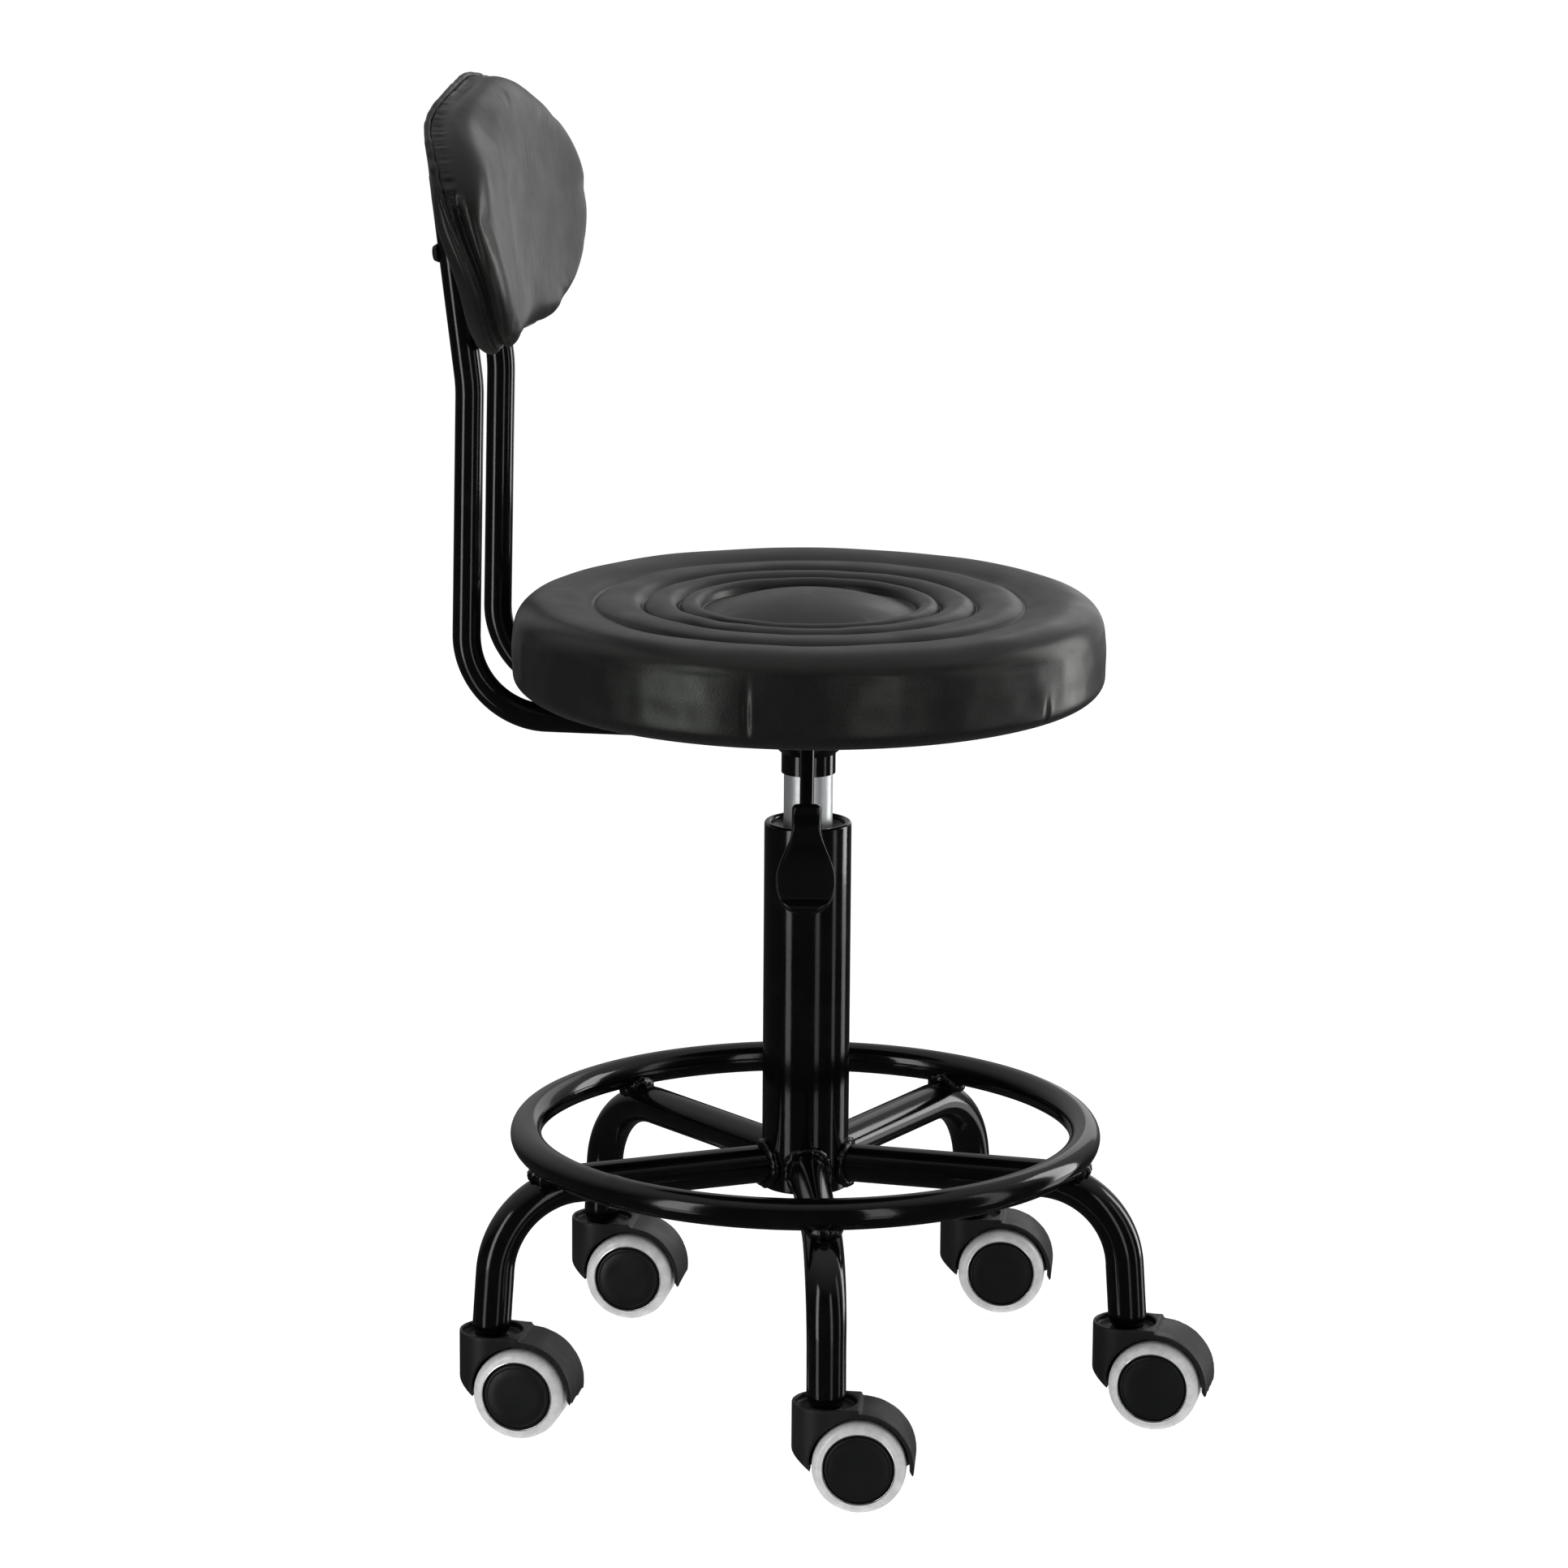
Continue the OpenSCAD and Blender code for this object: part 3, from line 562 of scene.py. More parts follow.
def bake(obj):
    """Applies an object's modifiers to its mesh."""
    made = bpy.data.meshes.new_from_object(obj.evaluated_get(bpy.context.evaluated_depsgraph_get()))
    obj.modifiers.clear()
    obj.data = made


def puff(obj, sewn, cap):
    """Inflates a cushion by cloth simulation. Sewn points stay put; none moves past cap."""
    group = obj.vertex_groups.new(name="sewn")
    group.add(sewn, 1.0, "REPLACE")
    start = [v.co.copy() for v in obj.data.vertices]
    cloth = modify(obj, "CLOTH")
    cloth.settings.quality = 6
    cloth.settings.mass = 0.3
    cloth.settings.tension_stiffness = 12
    cloth.settings.compression_stiffness = 12
    cloth.settings.bending_stiffness = 0.4
    cloth.settings.vertex_group_mass = group.name
    cloth.settings.use_pressure = True
    cloth.settings.uniform_pressure_force = CUSHION_PRESSURE
    cloth.settings.effector_weights.gravity = 0
    scene = bpy.context.scene
    for step in range(1, 21):
        scene.frame_set(step)
    shaped = obj.evaluated_get(bpy.context.evaluated_depsgraph_get()).data
    ends = [v.co.copy() for v in shaped.vertices]
    obj.modifiers.clear()
    obj.vertex_groups.clear()
    for vertex, before, after in zip(obj.data.vertices, start, ends):
        move = after - before
        if move.length > 0:
            move *= cap * math.tanh(move.length / cap) / move.length
        vertex.co = before + move
    scene.frame_set(1)


def level_middle(obj, middle, ring):
    """Puts the vertex in the middle of a round panel at the height of the ring of vertices round it."""
    places = [obj.data.vertices[k].co for k in ring]
    obj.data.vertices[middle].co = sum(places, Vector()) / len(places)


def crease_rows(obj, rows, sharpness):
    """Keeps closed rows of points sharp under subdivision."""
    pairs = {frozenset((row[k - 1], row[k])) for row in rows for k in range(len(row))}
    values = [sharpness if frozenset(edge.vertices) in pairs else 0.0 for edge in obj.data.edges]
    layer = obj.data.attributes.new("crease_edge", "FLOAT", "EDGE")
    layer.data.foreach_set("value", values)


def softened(node, body, material, width):
    """A copy of a CAD node with its sharp edges rounded, which stands for the node."""
    obj = copy_of_node(node, node + "_finished")
    mesh = bmesh.new()
    mesh.from_mesh(obj.data)
    bmesh.ops.remove_doubles(mesh, verts=mesh.verts, dist=1e-6)
    bmesh.ops.dissolve_limit(mesh, angle_limit=math.radians(1), verts=mesh.verts, edges=mesh.edges)
    mesh.to_mesh(obj.data)
    mesh.free()
    if obj.data.has_custom_normals:
        bpy.context.view_layer.objects.active = obj
        obj.data.attributes.remove(obj.data.attributes["custom_normal"])
    dress(obj, material)
    modify(obj, "BEVEL", width=width, segments=2, limit_method="ANGLE", angle_limit=SHARP_EDGE,
           harden_normals=True, use_clamp_overlap=True)
    bake(obj)
    place_piece(obj, body, [node])


# ---------- base ----------


def leg_frame(i):
    """Outward direction of leg i, and the distance of its caster's stem."""
    x, y, _ = joint(f"caster_{i}_swivel")["pos_m"]
    reach = math.hypot(x, y)
    return Vector((x / reach, y / reach, 0)), reach


def at(direction, reach, z):
    """The point at a distance from the swivel axis, at height z."""
    return direction * reach + Vector((0, 0, z))


def leg_corners(i):
    """Corners of leg i's centre line: at the column, in the bend, at the foot."""
    out, stem_r = leg_frame(i)
    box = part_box(f"leg_{i}")
    level, foot_z = box[1].z - LEG_R, box[0].z
    foot_r = stem_r + 0.001
    column_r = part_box("column_tube")[1].x
    bend_r = foot_r - (level - foot_z) * math.tan(LEG_SPLAY)
    return [at(out, column_r - 0.004, level), at(out, bend_r, level), at(out, foot_r, foot_z)]


def make_legs(paint):
    """Five bent tubes: each is flattened a little in its bend, and its foot's edge is turned in."""
    for i in LEGS:
        corners = leg_corners(i)
        path = rounded_path(corners, [LEG_BEND_R])
        out, _ = leg_frame(i)
        total = len(path) - 1

        def radius(share, angle, path=path, corners=corners, total=total):
            p = path[min(total, round(share * total))]
            near = max(0.0, 1 - (p - corners[1]).length / 0.05)
            oval = 1 - 0.05 * near * math.cos(angle) ** 2 + 0.045 * near * math.sin(angle) ** 2
            to_end = (p - corners[2]).length
            turned_in = max(0.0, 1 - to_end / 0.0035)
            return LEG_R * oval - 0.0016 * turned_in ** 2
        tube = sweep(path, radius, 40, shape=(0, 0, 1))
        new_piece(f"leg_{i}_tube", tube, [paint], "base", [f"leg_{i}"])


def make_foot_ring(paint):
    """Foot ring, with the faint thickening where its tube is butt welded."""
    low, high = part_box("foot_ring")
    r = (high.z - low.z) / 2
    ring_r = (high.x - low.x) / 2 - r
    z = (low.z + high.z) / 2
    steps = 240
    turns = [2 * math.pi * k / steps for k in range(steps)]
    points = [Vector((ring_r * math.cos(a), ring_r * math.sin(a), z)) for a in turns]
    weld_share, weld_w, weld_rise = 0.41, 0.003, 0.00035

    def radius(share, angle):
        return r + weld_rise * math.exp(-((share - weld_share) / weld_w) ** 2)
    tube = sweep(points, radius, 32, closed=True)
    new_piece("foot_ring_tube", tube, [paint], "base", ["foot_ring"])
    return ring_r, r, z


def bead(points, size, seed):
    """A lumpy closed weld bead along points."""
    def radius(share, angle):
        ripple = noise.noise(Vector((share * 34, seed, 0)))
        return size * (1 + 0.42 * ripple + 0.1 * math.sin(angle * 2 + share * 60))
    return sweep(points, radius, 10, closed=True)


def make_welds(paint, ring_r, ring_tube_r, ring_z):
    """Weld beads between legs and column, and between legs and foot ring."""
    column_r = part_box("column_tube")[1].x
    parts = []
    for i in LEGS:
        out, _ = leg_frame(i)
        across = Vector((-out.y, out.x, 0))
        corners = leg_corners(i)
        level = corners[0].z
        saddle = []
        for k in range(48):
            a = 2 * math.pi * k / 48
            y = (LEG_R + WELD_LIFT) * math.sin(a)
            x = math.sqrt(column_r ** 2 - y ** 2) + WELD_LIFT
            z = level + (LEG_R + WELD_LIFT) * math.cos(a)
            saddle.append(out * x + across * y + Vector((0, 0, z)))
        parts.append(bead(saddle, COLUMN_WELD_R, i * 7.3))
        bend = leg_arc_centre(corners)
        ring_centre = at(out, ring_r, ring_z)
        normal = (ring_centre - bend).normalized()
        along = across.cross(normal)
        touch = ring_centre - normal * ring_tube_r
        loop = []
        for k in range(40):
            a = 2 * math.pi * k / 40
            u, v = RING_WELD_HALF_W * math.cos(a), RING_WELD_HALF_L * math.sin(a)
            rise = ring_tube_r - math.sqrt(ring_tube_r ** 2 - u ** 2)
            fall = LEG_R - math.sqrt(LEG_R ** 2 - v ** 2)
            loop.append(touch + along * u + across * v + normal * (rise - fall) / 2)
        parts.append(bead(loop, RING_WELD_R, i * 3.1 + 40))
    new_piece("weld_beads", join_parts(parts), [paint], "base")


def leg_arc_centre(corners):
    """Centre of the bend that rounds a leg's corner."""
    a, b = (corners[0] - corners[1]).normalized(), (corners[2] - corners[1]).normalized()
    turn = math.pi - a.angle(b)
    return corners[1] + (a + b).normalized() * LEG_BEND_R / math.cos(turn / 2)


def make_column(paint, plastic):
    """Column tube with its thick rolled rim, and the dished plastic guide set into it."""
    low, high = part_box("column_tube")
    r, top, bottom = high.x, high.z, low.z
    rim_w, rim_round = 0.0042, 0.0018
    profile = [(r - rim_w, bottom + 0.004)]
    profile += arc(r - 0.0008, bottom + 0.0008, 0.0008, 180, 360, 8)
    profile += [(r, bottom + 0.02 * k) for k in range(1, 10)]
    profile += arc(r - rim_round, top - rim_round, rim_round, 0, 90, 8)
    profile += arc(r - rim_w + rim_round, top - rim_round, rim_round, 90, 180, 8)
    profile += [(r - rim_w, top - 0.006), (r - rim_w, top - 0.02)]
    tube = lathe(profile, 128)
    new_piece("column_tube_finished", tube, [paint], "base", ["column_tube"])
    dish_top, inner = top - 0.0022, r - rim_w
    cylinder_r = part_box("gas_cylinder")[1].x
    profile = [(cylinder_r + 0.0001, dish_top - 0.03), (cylinder_r + 0.0001, dish_top - 0.0032)]
    profile += [(cylinder_r + 0.0006, dish_top - 0.0024), (cylinder_r + 0.0014, dish_top - 0.0021)]
    profile += [(cylinder_r + 0.0032, dish_top - 0.0018), (inner - 0.0012, dish_top - 0.0006)]
    profile += [(inner - 0.0003, dish_top), (inner, dish_top - 0.0008), (inner, dish_top - 0.03)]
    new_piece("column_guide", lathe(profile, 96), [plastic], "base", ["column_bushing"])


# ---------- backrest ----------


def back_corners(x):
    """Corners of a backrest tube's centre line, at distance x from the middle."""
    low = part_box("backrest_tube_left")[0]
    run_z = low.z + BACK_TUBE_R
    up = Vector((0, -math.sin(BACK_FORWARD), math.cos(BACK_FORWARD)))
    out = Vector((0, math.cos(BACK_FORWARD), math.sin(BACK_FORWARD)))
    lean = Vector((0, math.sin(BACK_LEAN), math.cos(BACK_LEAN)))
    bend_end = Vector((x, BACK_REACH - BACK_BEND_R, run_z + BACK_BEND_R)) + out * BACK_BEND_R
    bend = bend_end - up * ((bend_end.z - run_z) / up.z)
    knee_start = bend_end + up * ((above_floor(BACK_KNEE_HEIGHT) - bend_end.z) / up.z)
    knee = knee_start + up * (BACK_KNEE_R * math.tan((BACK_LEAN + BACK_FORWARD) / 2))
    top = knee + lean * ((above_floor(BACK_TOP_HEIGHT) - knee.z) / lean.z)
    return [Vector((x, low.y, run_z)), bend, knee, top]


def make_backrest_tubes(paint, plastic):
    """The two bent tubes and the plugs in their upper ends."""
    plugs = []
    for x, node in ((-BACK_GAUGE / 2, "backrest_tube_right"), (BACK_GAUGE / 2, "backrest_tube_left")):
        corners = back_corners(x)
        path = rounded_path(corners, [BACK_BEND_R, BACK_KNEE_R])
        total = len(path) - 1

        def radius(share, angle, path=path, corners=corners, total=total):
            p = path[min(total, round(share * total))]
            near = max(0.0, 1 - (p - corners[1]).length / 0.04)
            oval = 1 - 0.05 * near * math.cos(angle) ** 2 + 0.02 * near * math.sin(angle) ** 2
            return BACK_TUBE_R * oval
        tube = sweep(path, radius, 32, shape=(0, 0, 1), capped=False)
        new_piece(node + "_bent", tube, [paint], "seat", [node])
        end = corners[-1]
        tilt = Matrix.Translation(end) @ Matrix.Rotation(-BACK_LEAN, 4, "X")
        head_r, neck_r = BACK_TUBE_R * 0.97, BACK_TUBE_R - 0.0017
        slopes = [math.radians(10 * k) for k in range(1, 10)]
        dome = [(0, 0.0028)] + [(head_r * math.sin(a), 0.0002 + 0.0026 * math.cos(a)) for a in slopes]
        dome += [(head_r, -0.0005), (neck_r, -0.001), (neck_r, -0.008)]
        plugs.append(lathe(dome, 48, tilt))
    new_piece("backrest_plugs", join_parts(plugs), [plastic], "seat",
              ["backrest_tube_plugs"])


def pad_place():
    """The pad's own frame: X across, Y up along the pad, Z forward out of its face."""
    knee = back_corners(0)[2]
    tube_y = knee.y + (above_floor(PAD_HEIGHT) - knee.z) * math.tan(BACK_LEAN)
    bend_r = pad_bend_r()
    tube_out = bend_r - math.sqrt(bend_r ** 2 - (BACK_GAUGE / 2) ** 2)
    y = tube_y - (BACK_TUBE_R - tube_out) / math.cos(BACK_LEAN)
    lean = Matrix.Rotation(math.pi / 2 - BACK_LEAN, 4, "X")
    return Matrix.Translation((0, y, above_floor(PAD_HEIGHT))) @ lean


def pad_bend_r():
    """Radius of the pad's back face."""
    return (PAD_HALF_W ** 2 + PAD_WRAP ** 2) / (2 * PAD_WRAP)


def pad_outline(a):
    """The kidney outline at angle a, in radians. Its upper corner by the lever is the fuller one."""
    upper = math.sin(a) >= 0
    power = PAD_UPPER_POWER if upper else PAD_LOWER_POWER
    if upper and math.cos(a) < 0:
        power += (PAD_NEAR_POWER - PAD_UPPER_POWER) * smooth(-2 * math.cos(a))
    r = (abs(math.cos(a)) ** power + abs(math.sin(a)) ** power) ** (-1 / power)
    u, v = r * math.cos(a) * PAD_HALF_W, r * math.sin(a) * (PAD_UP if upper else PAD_DOWN)
    if not upper:
        v *= 1 - PAD_ARCH * math.exp(-(u / PAD_ARCH_W) ** 2)
    return u, v


def pad_bent(u, v, w):
    """Wraps a flat point of the pad round the sitter's back."""
    bend_r = pad_bend_r()
    a = u / bend_r
    w += pad_sway(u, v)
    return Vector(((bend_r - w) * math.sin(a), v, bend_r - (bend_r - w) * math.cos(a)))


def pad_sway(u, v):
    """How the cushion is pulled out of true at the end by the lever: its upper corner leans back, and
    its lower half stands forward."""
    end = smooth((-u - 0.05) / 0.045)
    corner = math.exp(-((u + 0.085) / 0.04) ** 2 - ((v - 0.062) / 0.022) ** 2)
    return 0.0042 * end * smooth(0.3 - v / 0.05) - 0.005 * corner


def seam_depth(a):
    """How far the sewn edge lies in front of the pad's back, at angle a: near the back along the top,
    half way through the thickness lower down."""
    low, high = 0.003, 0.013
    return low + (high - low) * smooth((0.75 - math.sin(a)) / 1.3)


def smooth(t):
    """A soft step from 0 to 1."""
    t = min(1.0, max(0.0, t))
    return t * t * (3 - 2 * t)


def near_angle(a, centre, width):
    """1 at an angle (both in degrees), falling off softly over width degrees."""
    away = (a - centre + 180) % 360 - 180
    return math.exp(-(away / width) ** 2)


def near_any(a, places):
    """The same, for the nearest of some places round the pad, each as (centre, width) in degrees."""
    return max(near_angle(a, centre, width) for centre, width in places)


def pad_rim(a):
    """Section through the pad's edge at angle a: (distance in from the outline, depth) pairs."""
    seam = seam_depth(a)
    broad = smooth((seam - 0.0035) / 0.007)
    round_d, round_w = 0.016, 0.0125 - 0.003 * broad
    points = []
    for k in range(9):
        t = math.pi / 2 * k / 8
        points.append((round_d * (1 - math.sin(t)), PAD_THICK - round_w * (1 - math.cos(t))))
    side = PAD_THICK - round_w - seam
    degrees = math.degrees(a) % 360
    flare = PAD_FLARE * near_any(degrees, PAD_FLARED)
    hollow = 0.002 + 0.0028 * broad
    for t in (0.25, 0.5, 0.72, 0.88):
        lip = (0.001 + flare) * t ** 3
        points.append((hollow * math.sin(math.pi * t ** 1.2) - lip, seam + side * (1 - t)))
    points.append((0.0012 - flare, seam))
    for t in (0.1, 0.3, 0.5, 0.7, 0.88, 1):
        bulge = (0.0012 + 0.0016 * broad) * math.sin(math.pi * t ** 0.8)
        points.append((0.006 * t ** 3 - flare * (1 - t) - bulge, seam * (1 - t) ** 0.9))
    return points


def back_bulge(u, v):
    """How far the back panel stands out behind the pad's board, at its upper ends."""
    return 0.0045 * smooth((abs(u) - 0.055) / 0.06) * smooth((v + 0.03) / 0.06)


def pad_rows(a):
    """The whole section at angle a, from the middle of the face to the middle of the back."""
    u, v = pad_outline(a)
    reach = math.hypot(u, v)
    rim = pad_rim(a)
    first, last = rim[0][0], rim[-1][0]
    rows = []
    for k in range(PAD_FACE_ROWS):
        t = k / PAD_FACE_ROWS
        rows.append(((reach - first) * t, PAD_THICK + PAD_CROWN * (1 - t ** 2)))
    rows += [(reach - d, w) for d, w in rim]
    for k in range(1, 9):
        rows.append(((reach - last) * (1 - k / 8), 0.0))
    spots = [(u * r / reach, v * r / reach, w) for r, w in rows]
    return [(x, y, w - back_bulge(x, y) * smooth(1 - w / PAD_BULGE_DEPTH)) for x, y, w in spots]


def make_pad(leather, piping):
    """The backrest cushion, puffed up by simulation, with the gathered edge where its panels are sewn."""
    place = pad_place()
    around = CUSHION_SIDES
    columns = [pad_rows(2 * math.pi * k / around) for k in range(around)]
    count = len(columns[0])
    verts = [pad_bent(*columns[k][row]) for row in range(1, count - 1) for k in range(around)]
    faces = tube_faces(count - 2, around)
    verts += [pad_bent(0, 0, PAD_THICK + PAD_CROWN), pad_bent(0, 0, 0)]
    tail = (count - 3) * around
    for k in range(around):
        m = (k + 1) % around
        faces.append((len(verts) - 2, k, m))
        faces.append((len(verts) - 1, tail + m, tail + k))
    pad = new_object("backrest_cushion", verts, faces)
    sewn = [PAD_SEAM_ROW * around + k for k in range(around)]
    back = list(range((count - 10) * around, len(verts) - 2)) + [len(verts) - 1]
    puff(pad, sewn + back, PAD_PUFF)
    level_middle(pad, len(verts) - 2, range(around))
    crease_rows(pad, [sewn], 0.75)
    modify(pad, "SUBSURF", levels=2, render_levels=2)
    bake(pad)
    for vertex in pad.data.vertices:
        vertex.co = pad_folded(vertex.co)
    pad.data.transform(place)
    dress(pad, leather)
    place_piece(pad, "seat", ["backrest_foam", "backrest_cover", "backrest_board"])
    make_pad_piping(place, piping)


def flat_pad(point):
    """Takes a point of the bent pad back to its flat (across, up, depth)."""
    bend_r = pad_bend_r()
    away = math.hypot(point.x, bend_r - point.z)
    u = bend_r * math.atan2(point.x, bend_r - point.z)
    return u, point.y, bend_r - away - pad_sway(u, point.y)


def pad_folded(point):
    """Adds the gathers and folds beside the seam, and the faint stretch lines of the face."""
    u, v, w = flat_pad(point)
    a = math.atan2(v / PAD_UP, u / PAD_HALF_W)
    degrees = math.degrees(a) % 360
    out = Vector((u, v, 0)).normalized()
    beside = w - seam_depth(a)
    reach = math.hypot(*pad_outline(a))
    rim = smooth(1 - (reach - math.hypot(u, v)) / 0.016)
    lumps = noise.noise(Vector((degrees / 2.4, 0.3, 4.4)))
    lumps += 0.6 * noise.noise(Vector((degrees / 1.1, 7.3, 2.1)))
    lumps *= near_any(degrees, PAD_GATHERED) * rim
    move = GATHER_RISE * lumps * math.exp(-((beside - 0.0015) / 0.0032) ** 2)
    pitch = FOLD_PITCH
    for centre, width in PAD_TIGHT_FOLDS:
        pitch -= FOLD_TIGHTENING * near_angle(degrees, centre, width)
    wander = noise.noise(Vector((degrees / 15, 3.7, 0))) * 2.2
    ridge = math.sin(2 * math.pi * beside / pitch + wander)
    ridge *= near_any(degrees, PAD_FOLDED) * rim
    move += FOLD_RISE * ridge * math.exp(-((beside - 0.002) / 0.006) ** 2)
    move += TIP_RISE * near_any(degrees, PAD_TIPS) * rim * math.exp(-(beside / 0.003) ** 2)
    dent = near_any(degrees, PAD_DENTS) * rim
    move -= DENT_DEPTH * dent * math.exp(-((beside - 0.003) / 0.0018) ** 2)
    lines = noise.noise(Vector((u * 260, v * 22, 1.7))) * noise.noise(Vector((u * 40, v * 18, 8.1)))
    lift = FACE_LINE_RISE * lines * smooth((w - 0.02) / 0.005)
    return pad_bent(u + out.x * move, v + out.y * move, w + lift)


def make_pad_piping(place, piping):
    """The rolled edge along the pad's seam: full and lumpy along the top, thin lower down."""
    steps = 420
    points = []
    for k in range(steps):
        a = 2 * math.pi * k / steps
        u, v = pad_outline(a)
        out = Vector((u, v)).normalized() * 0.0002
        depth = seam_depth(a) - 0.0006
        depth -= back_bulge(u, v) * smooth(1 - depth / PAD_BULGE_DEPTH)
        points.append(place @ pad_bent(u + out.x, v + out.y, depth))

    def radius(share, angle):
        a = 2 * math.pi * share
        full = smooth((math.sin(a) + 0.15) / 0.5)
        lump = noise.noise(Vector((share * 95, 5.1, 0)))
        return (0.0007 + 0.0011 * full) * (1 + 0.45 * lump)
    new_piece("backrest_piping", sweep(points, radius, 12, closed=True), [piping], "seat")


# ---------- seat ----------


def seat_profile():
    """Half section of the seat, from the middle of its top to the hem under its board, as rows of
    (radius, height), and the numbers of the rows that are sewn down."""
    seat_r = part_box("seat_cover")[1].x
    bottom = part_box("seat_cover")[0].z
    points, sewn = [], []
    first_r, first_z = GROOVES[0]
    for k in range(1, 9):
        t = k / 9
        points.append((first_r * t, first_z + (DOME_TOP - first_z) * (1 - t ** 2) ** 0.92))
    points.append((first_r * 0.97, first_z + 0.0009))
    sewn.append(len(points))
    points.append(GROOVES[0])
    for (r0, z0), (r1, z1), crest in zip(GROOVES, GROOVES[1:], CRESTS):
        for t in (0.1, 0.25, 0.45, 0.65, 0.82, 0.94):
            hump = (1 - abs(2 * t - 1) ** 2.2) ** 0.62
            base = z0 + (z1 - z0) * t
            points.append((r0 + (r1 - r0) * t, base + (crest - base) * hump))
        sewn.append(len(points))
        points.append((r1, z1))
    last_r, last_z = GROOVES[-1]
    for t in (0.05, 0.15, 0.32, 0.55, 0.78, 1):
        hump = (1 - (1 - t) ** 2.4) ** 0.8
        points.append((last_r + (BAND_CREST_R - last_r) * t, last_z + (BAND_CREST - last_z) * hump))
    corner_w, corner_h = seat_r - BAND_CREST_R, 0.0215
    for k in range(1, 8):
        a = math.pi / 2 * k / 7
        points.append((BAND_CREST_R + corner_w * math.sin(a) ** 0.9,
                       BAND_CREST - corner_h * (1 - math.cos(a) ** 0.9)))
    hem = bottom + HEM_LIFT
    low_r, low_z = seat_r + SIDE_BULGE / 2, hem + BOTTOM_ROUND_H
    high_z = BAND_CREST - corner_h
    for t in (0.25, 0.5, 0.75):
        points.append((seat_r + SIDE_BULGE * math.sin(math.pi * t ** 0.8), high_z + (low_z - high_z) * t))
    for k in range(8):
        a = math.pi / 2 * k / 7
        points.append((low_r - BOTTOM_ROUND_W * (1 - math.cos(a)), low_z - BOTTOM_ROUND_H * math.sin(a)))
    sewn += list(range(len(points) - 2, len(points) + 4))
    points += [(0.142, hem), (0.131, hem + 0.0002), (0.130, hem + 0.0008), (0.130, hem + 0.0016)]
    return points, sewn


def seat_folded(point):
    """Adds the cover's creases, and the way the sewn rolls pull up unevenly."""
    r = math.hypot(point.x, point.y)
    if r < 0.02:
        return point
    degrees = math.degrees(math.atan2(point.y, point.x)) % 360
    out = Vector((point.x, point.y, 0)) / r
    side = smooth((r - 0.15) / 0.015)
    move = 0.0
    for centre, z, half_a, half_z, depth in SIDE_FOLDS:
        move -= depth * near_angle(degrees, centre, half_a) * math.exp(-((point.z - z) / half_z) ** 2)
    turn = math.radians(degrees)
    spot = Vector((math.cos(turn) * 2.2, math.sin(turn) * 2.2, point.z * 30))
    move += SIDE_RIPPLE * noise.noise(spot)
    pull = noise.noise(Vector((out.x * 4, out.y * 4, r * 45)))
    rolls = smooth((point.z + 0.012) / 0.01) * smooth((r - 0.055) / 0.01)
    return point + out * move * side + Vector((0, 0, ROLL_PULL * pull * rolls))


def make_seat(leather):
    """The seat cushion: sewn down in rings, and puffed up between them by simulation."""
    profile, sewn_rows = seat_profile()
    around = CUSHION_SIDES
    seat = new_object("seat_cushion", *lathe([(0, DOME_TOP)] + profile, around))
    rows = [[1 + row * around + k for k in range(around)] for row in sewn_rows]
    puff(seat, [v for row in rows for v in row], SEAT_PUFF)
    level_middle(seat, 0, range(1, around + 1))
    crease_rows(seat, rows[:len(GROOVES)], 0.9)
    modify(seat, "SUBSURF", levels=2, render_levels=2)
    bake(seat)
    for vertex in seat.data.vertices:
        vertex.co = seat_folded(vertex.co)
    mesh = bmesh.new()
    mesh.from_mesh(seat.data)
    bmesh.ops.recalc_face_normals(mesh, faces=mesh.faces)
    mesh.to_mesh(seat.data)
    mesh.free()
    dress(seat, leather)
    place_piece(seat, "seat", ["seat_foam", "seat_cover"])


def make_seat_board(wood):
    """The board under the seat, which closes the cover's hem; its lower edge is rounded."""
    low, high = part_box("seat_board")
    edge = 0.0015
    profile = [(0, high.z), (BOARD_R, high.z)]
    profile += arc(BOARD_R - edge, low.z + edge, edge, 0, -90, 5) + [(0, low.z)]
    new_piece("seat_board_shaped", lathe(profile, 128), [wood], "seat", ["seat_board"])


def make_socket_flare(paint):
    """The fillet where the taper socket meets the mounting plate."""
    r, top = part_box("taper_socket")[1].x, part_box("mounting_plate")[0].z
    size = 0.0042
    profile = [(r - 0.001, top - size - 0.0012), (r + 0.0001, top - size - 0.0006)]
    profile += [(r + size * (1 - math.cos(a)), top - size * (1 - math.sin(a)))
                for a in (math.pi / 2 * k / 8 for k in range(9))]
    profile += [(r - 0.001, top)]
    new_piece("socket_fillet", lathe(profile, 96, closed=True), [paint], "seat")


# ---------- lever ----------


def lever_place():
    """The lever's plane: X outward, Z up, from the swivel axis at the height of the rod."""
    lever = joint("height_lever")
    axis = Vector(lever["axis"])
    out = Vector((-axis.y, axis.x, 0))
    across = Vector((0, 0, 1)).cross(out)
    origin = Vector(lever["pos_m"]) - out * LEVER_PIVOT_X
    return axes_matrix(out, across, Vector((0, 0, 1)), origin)


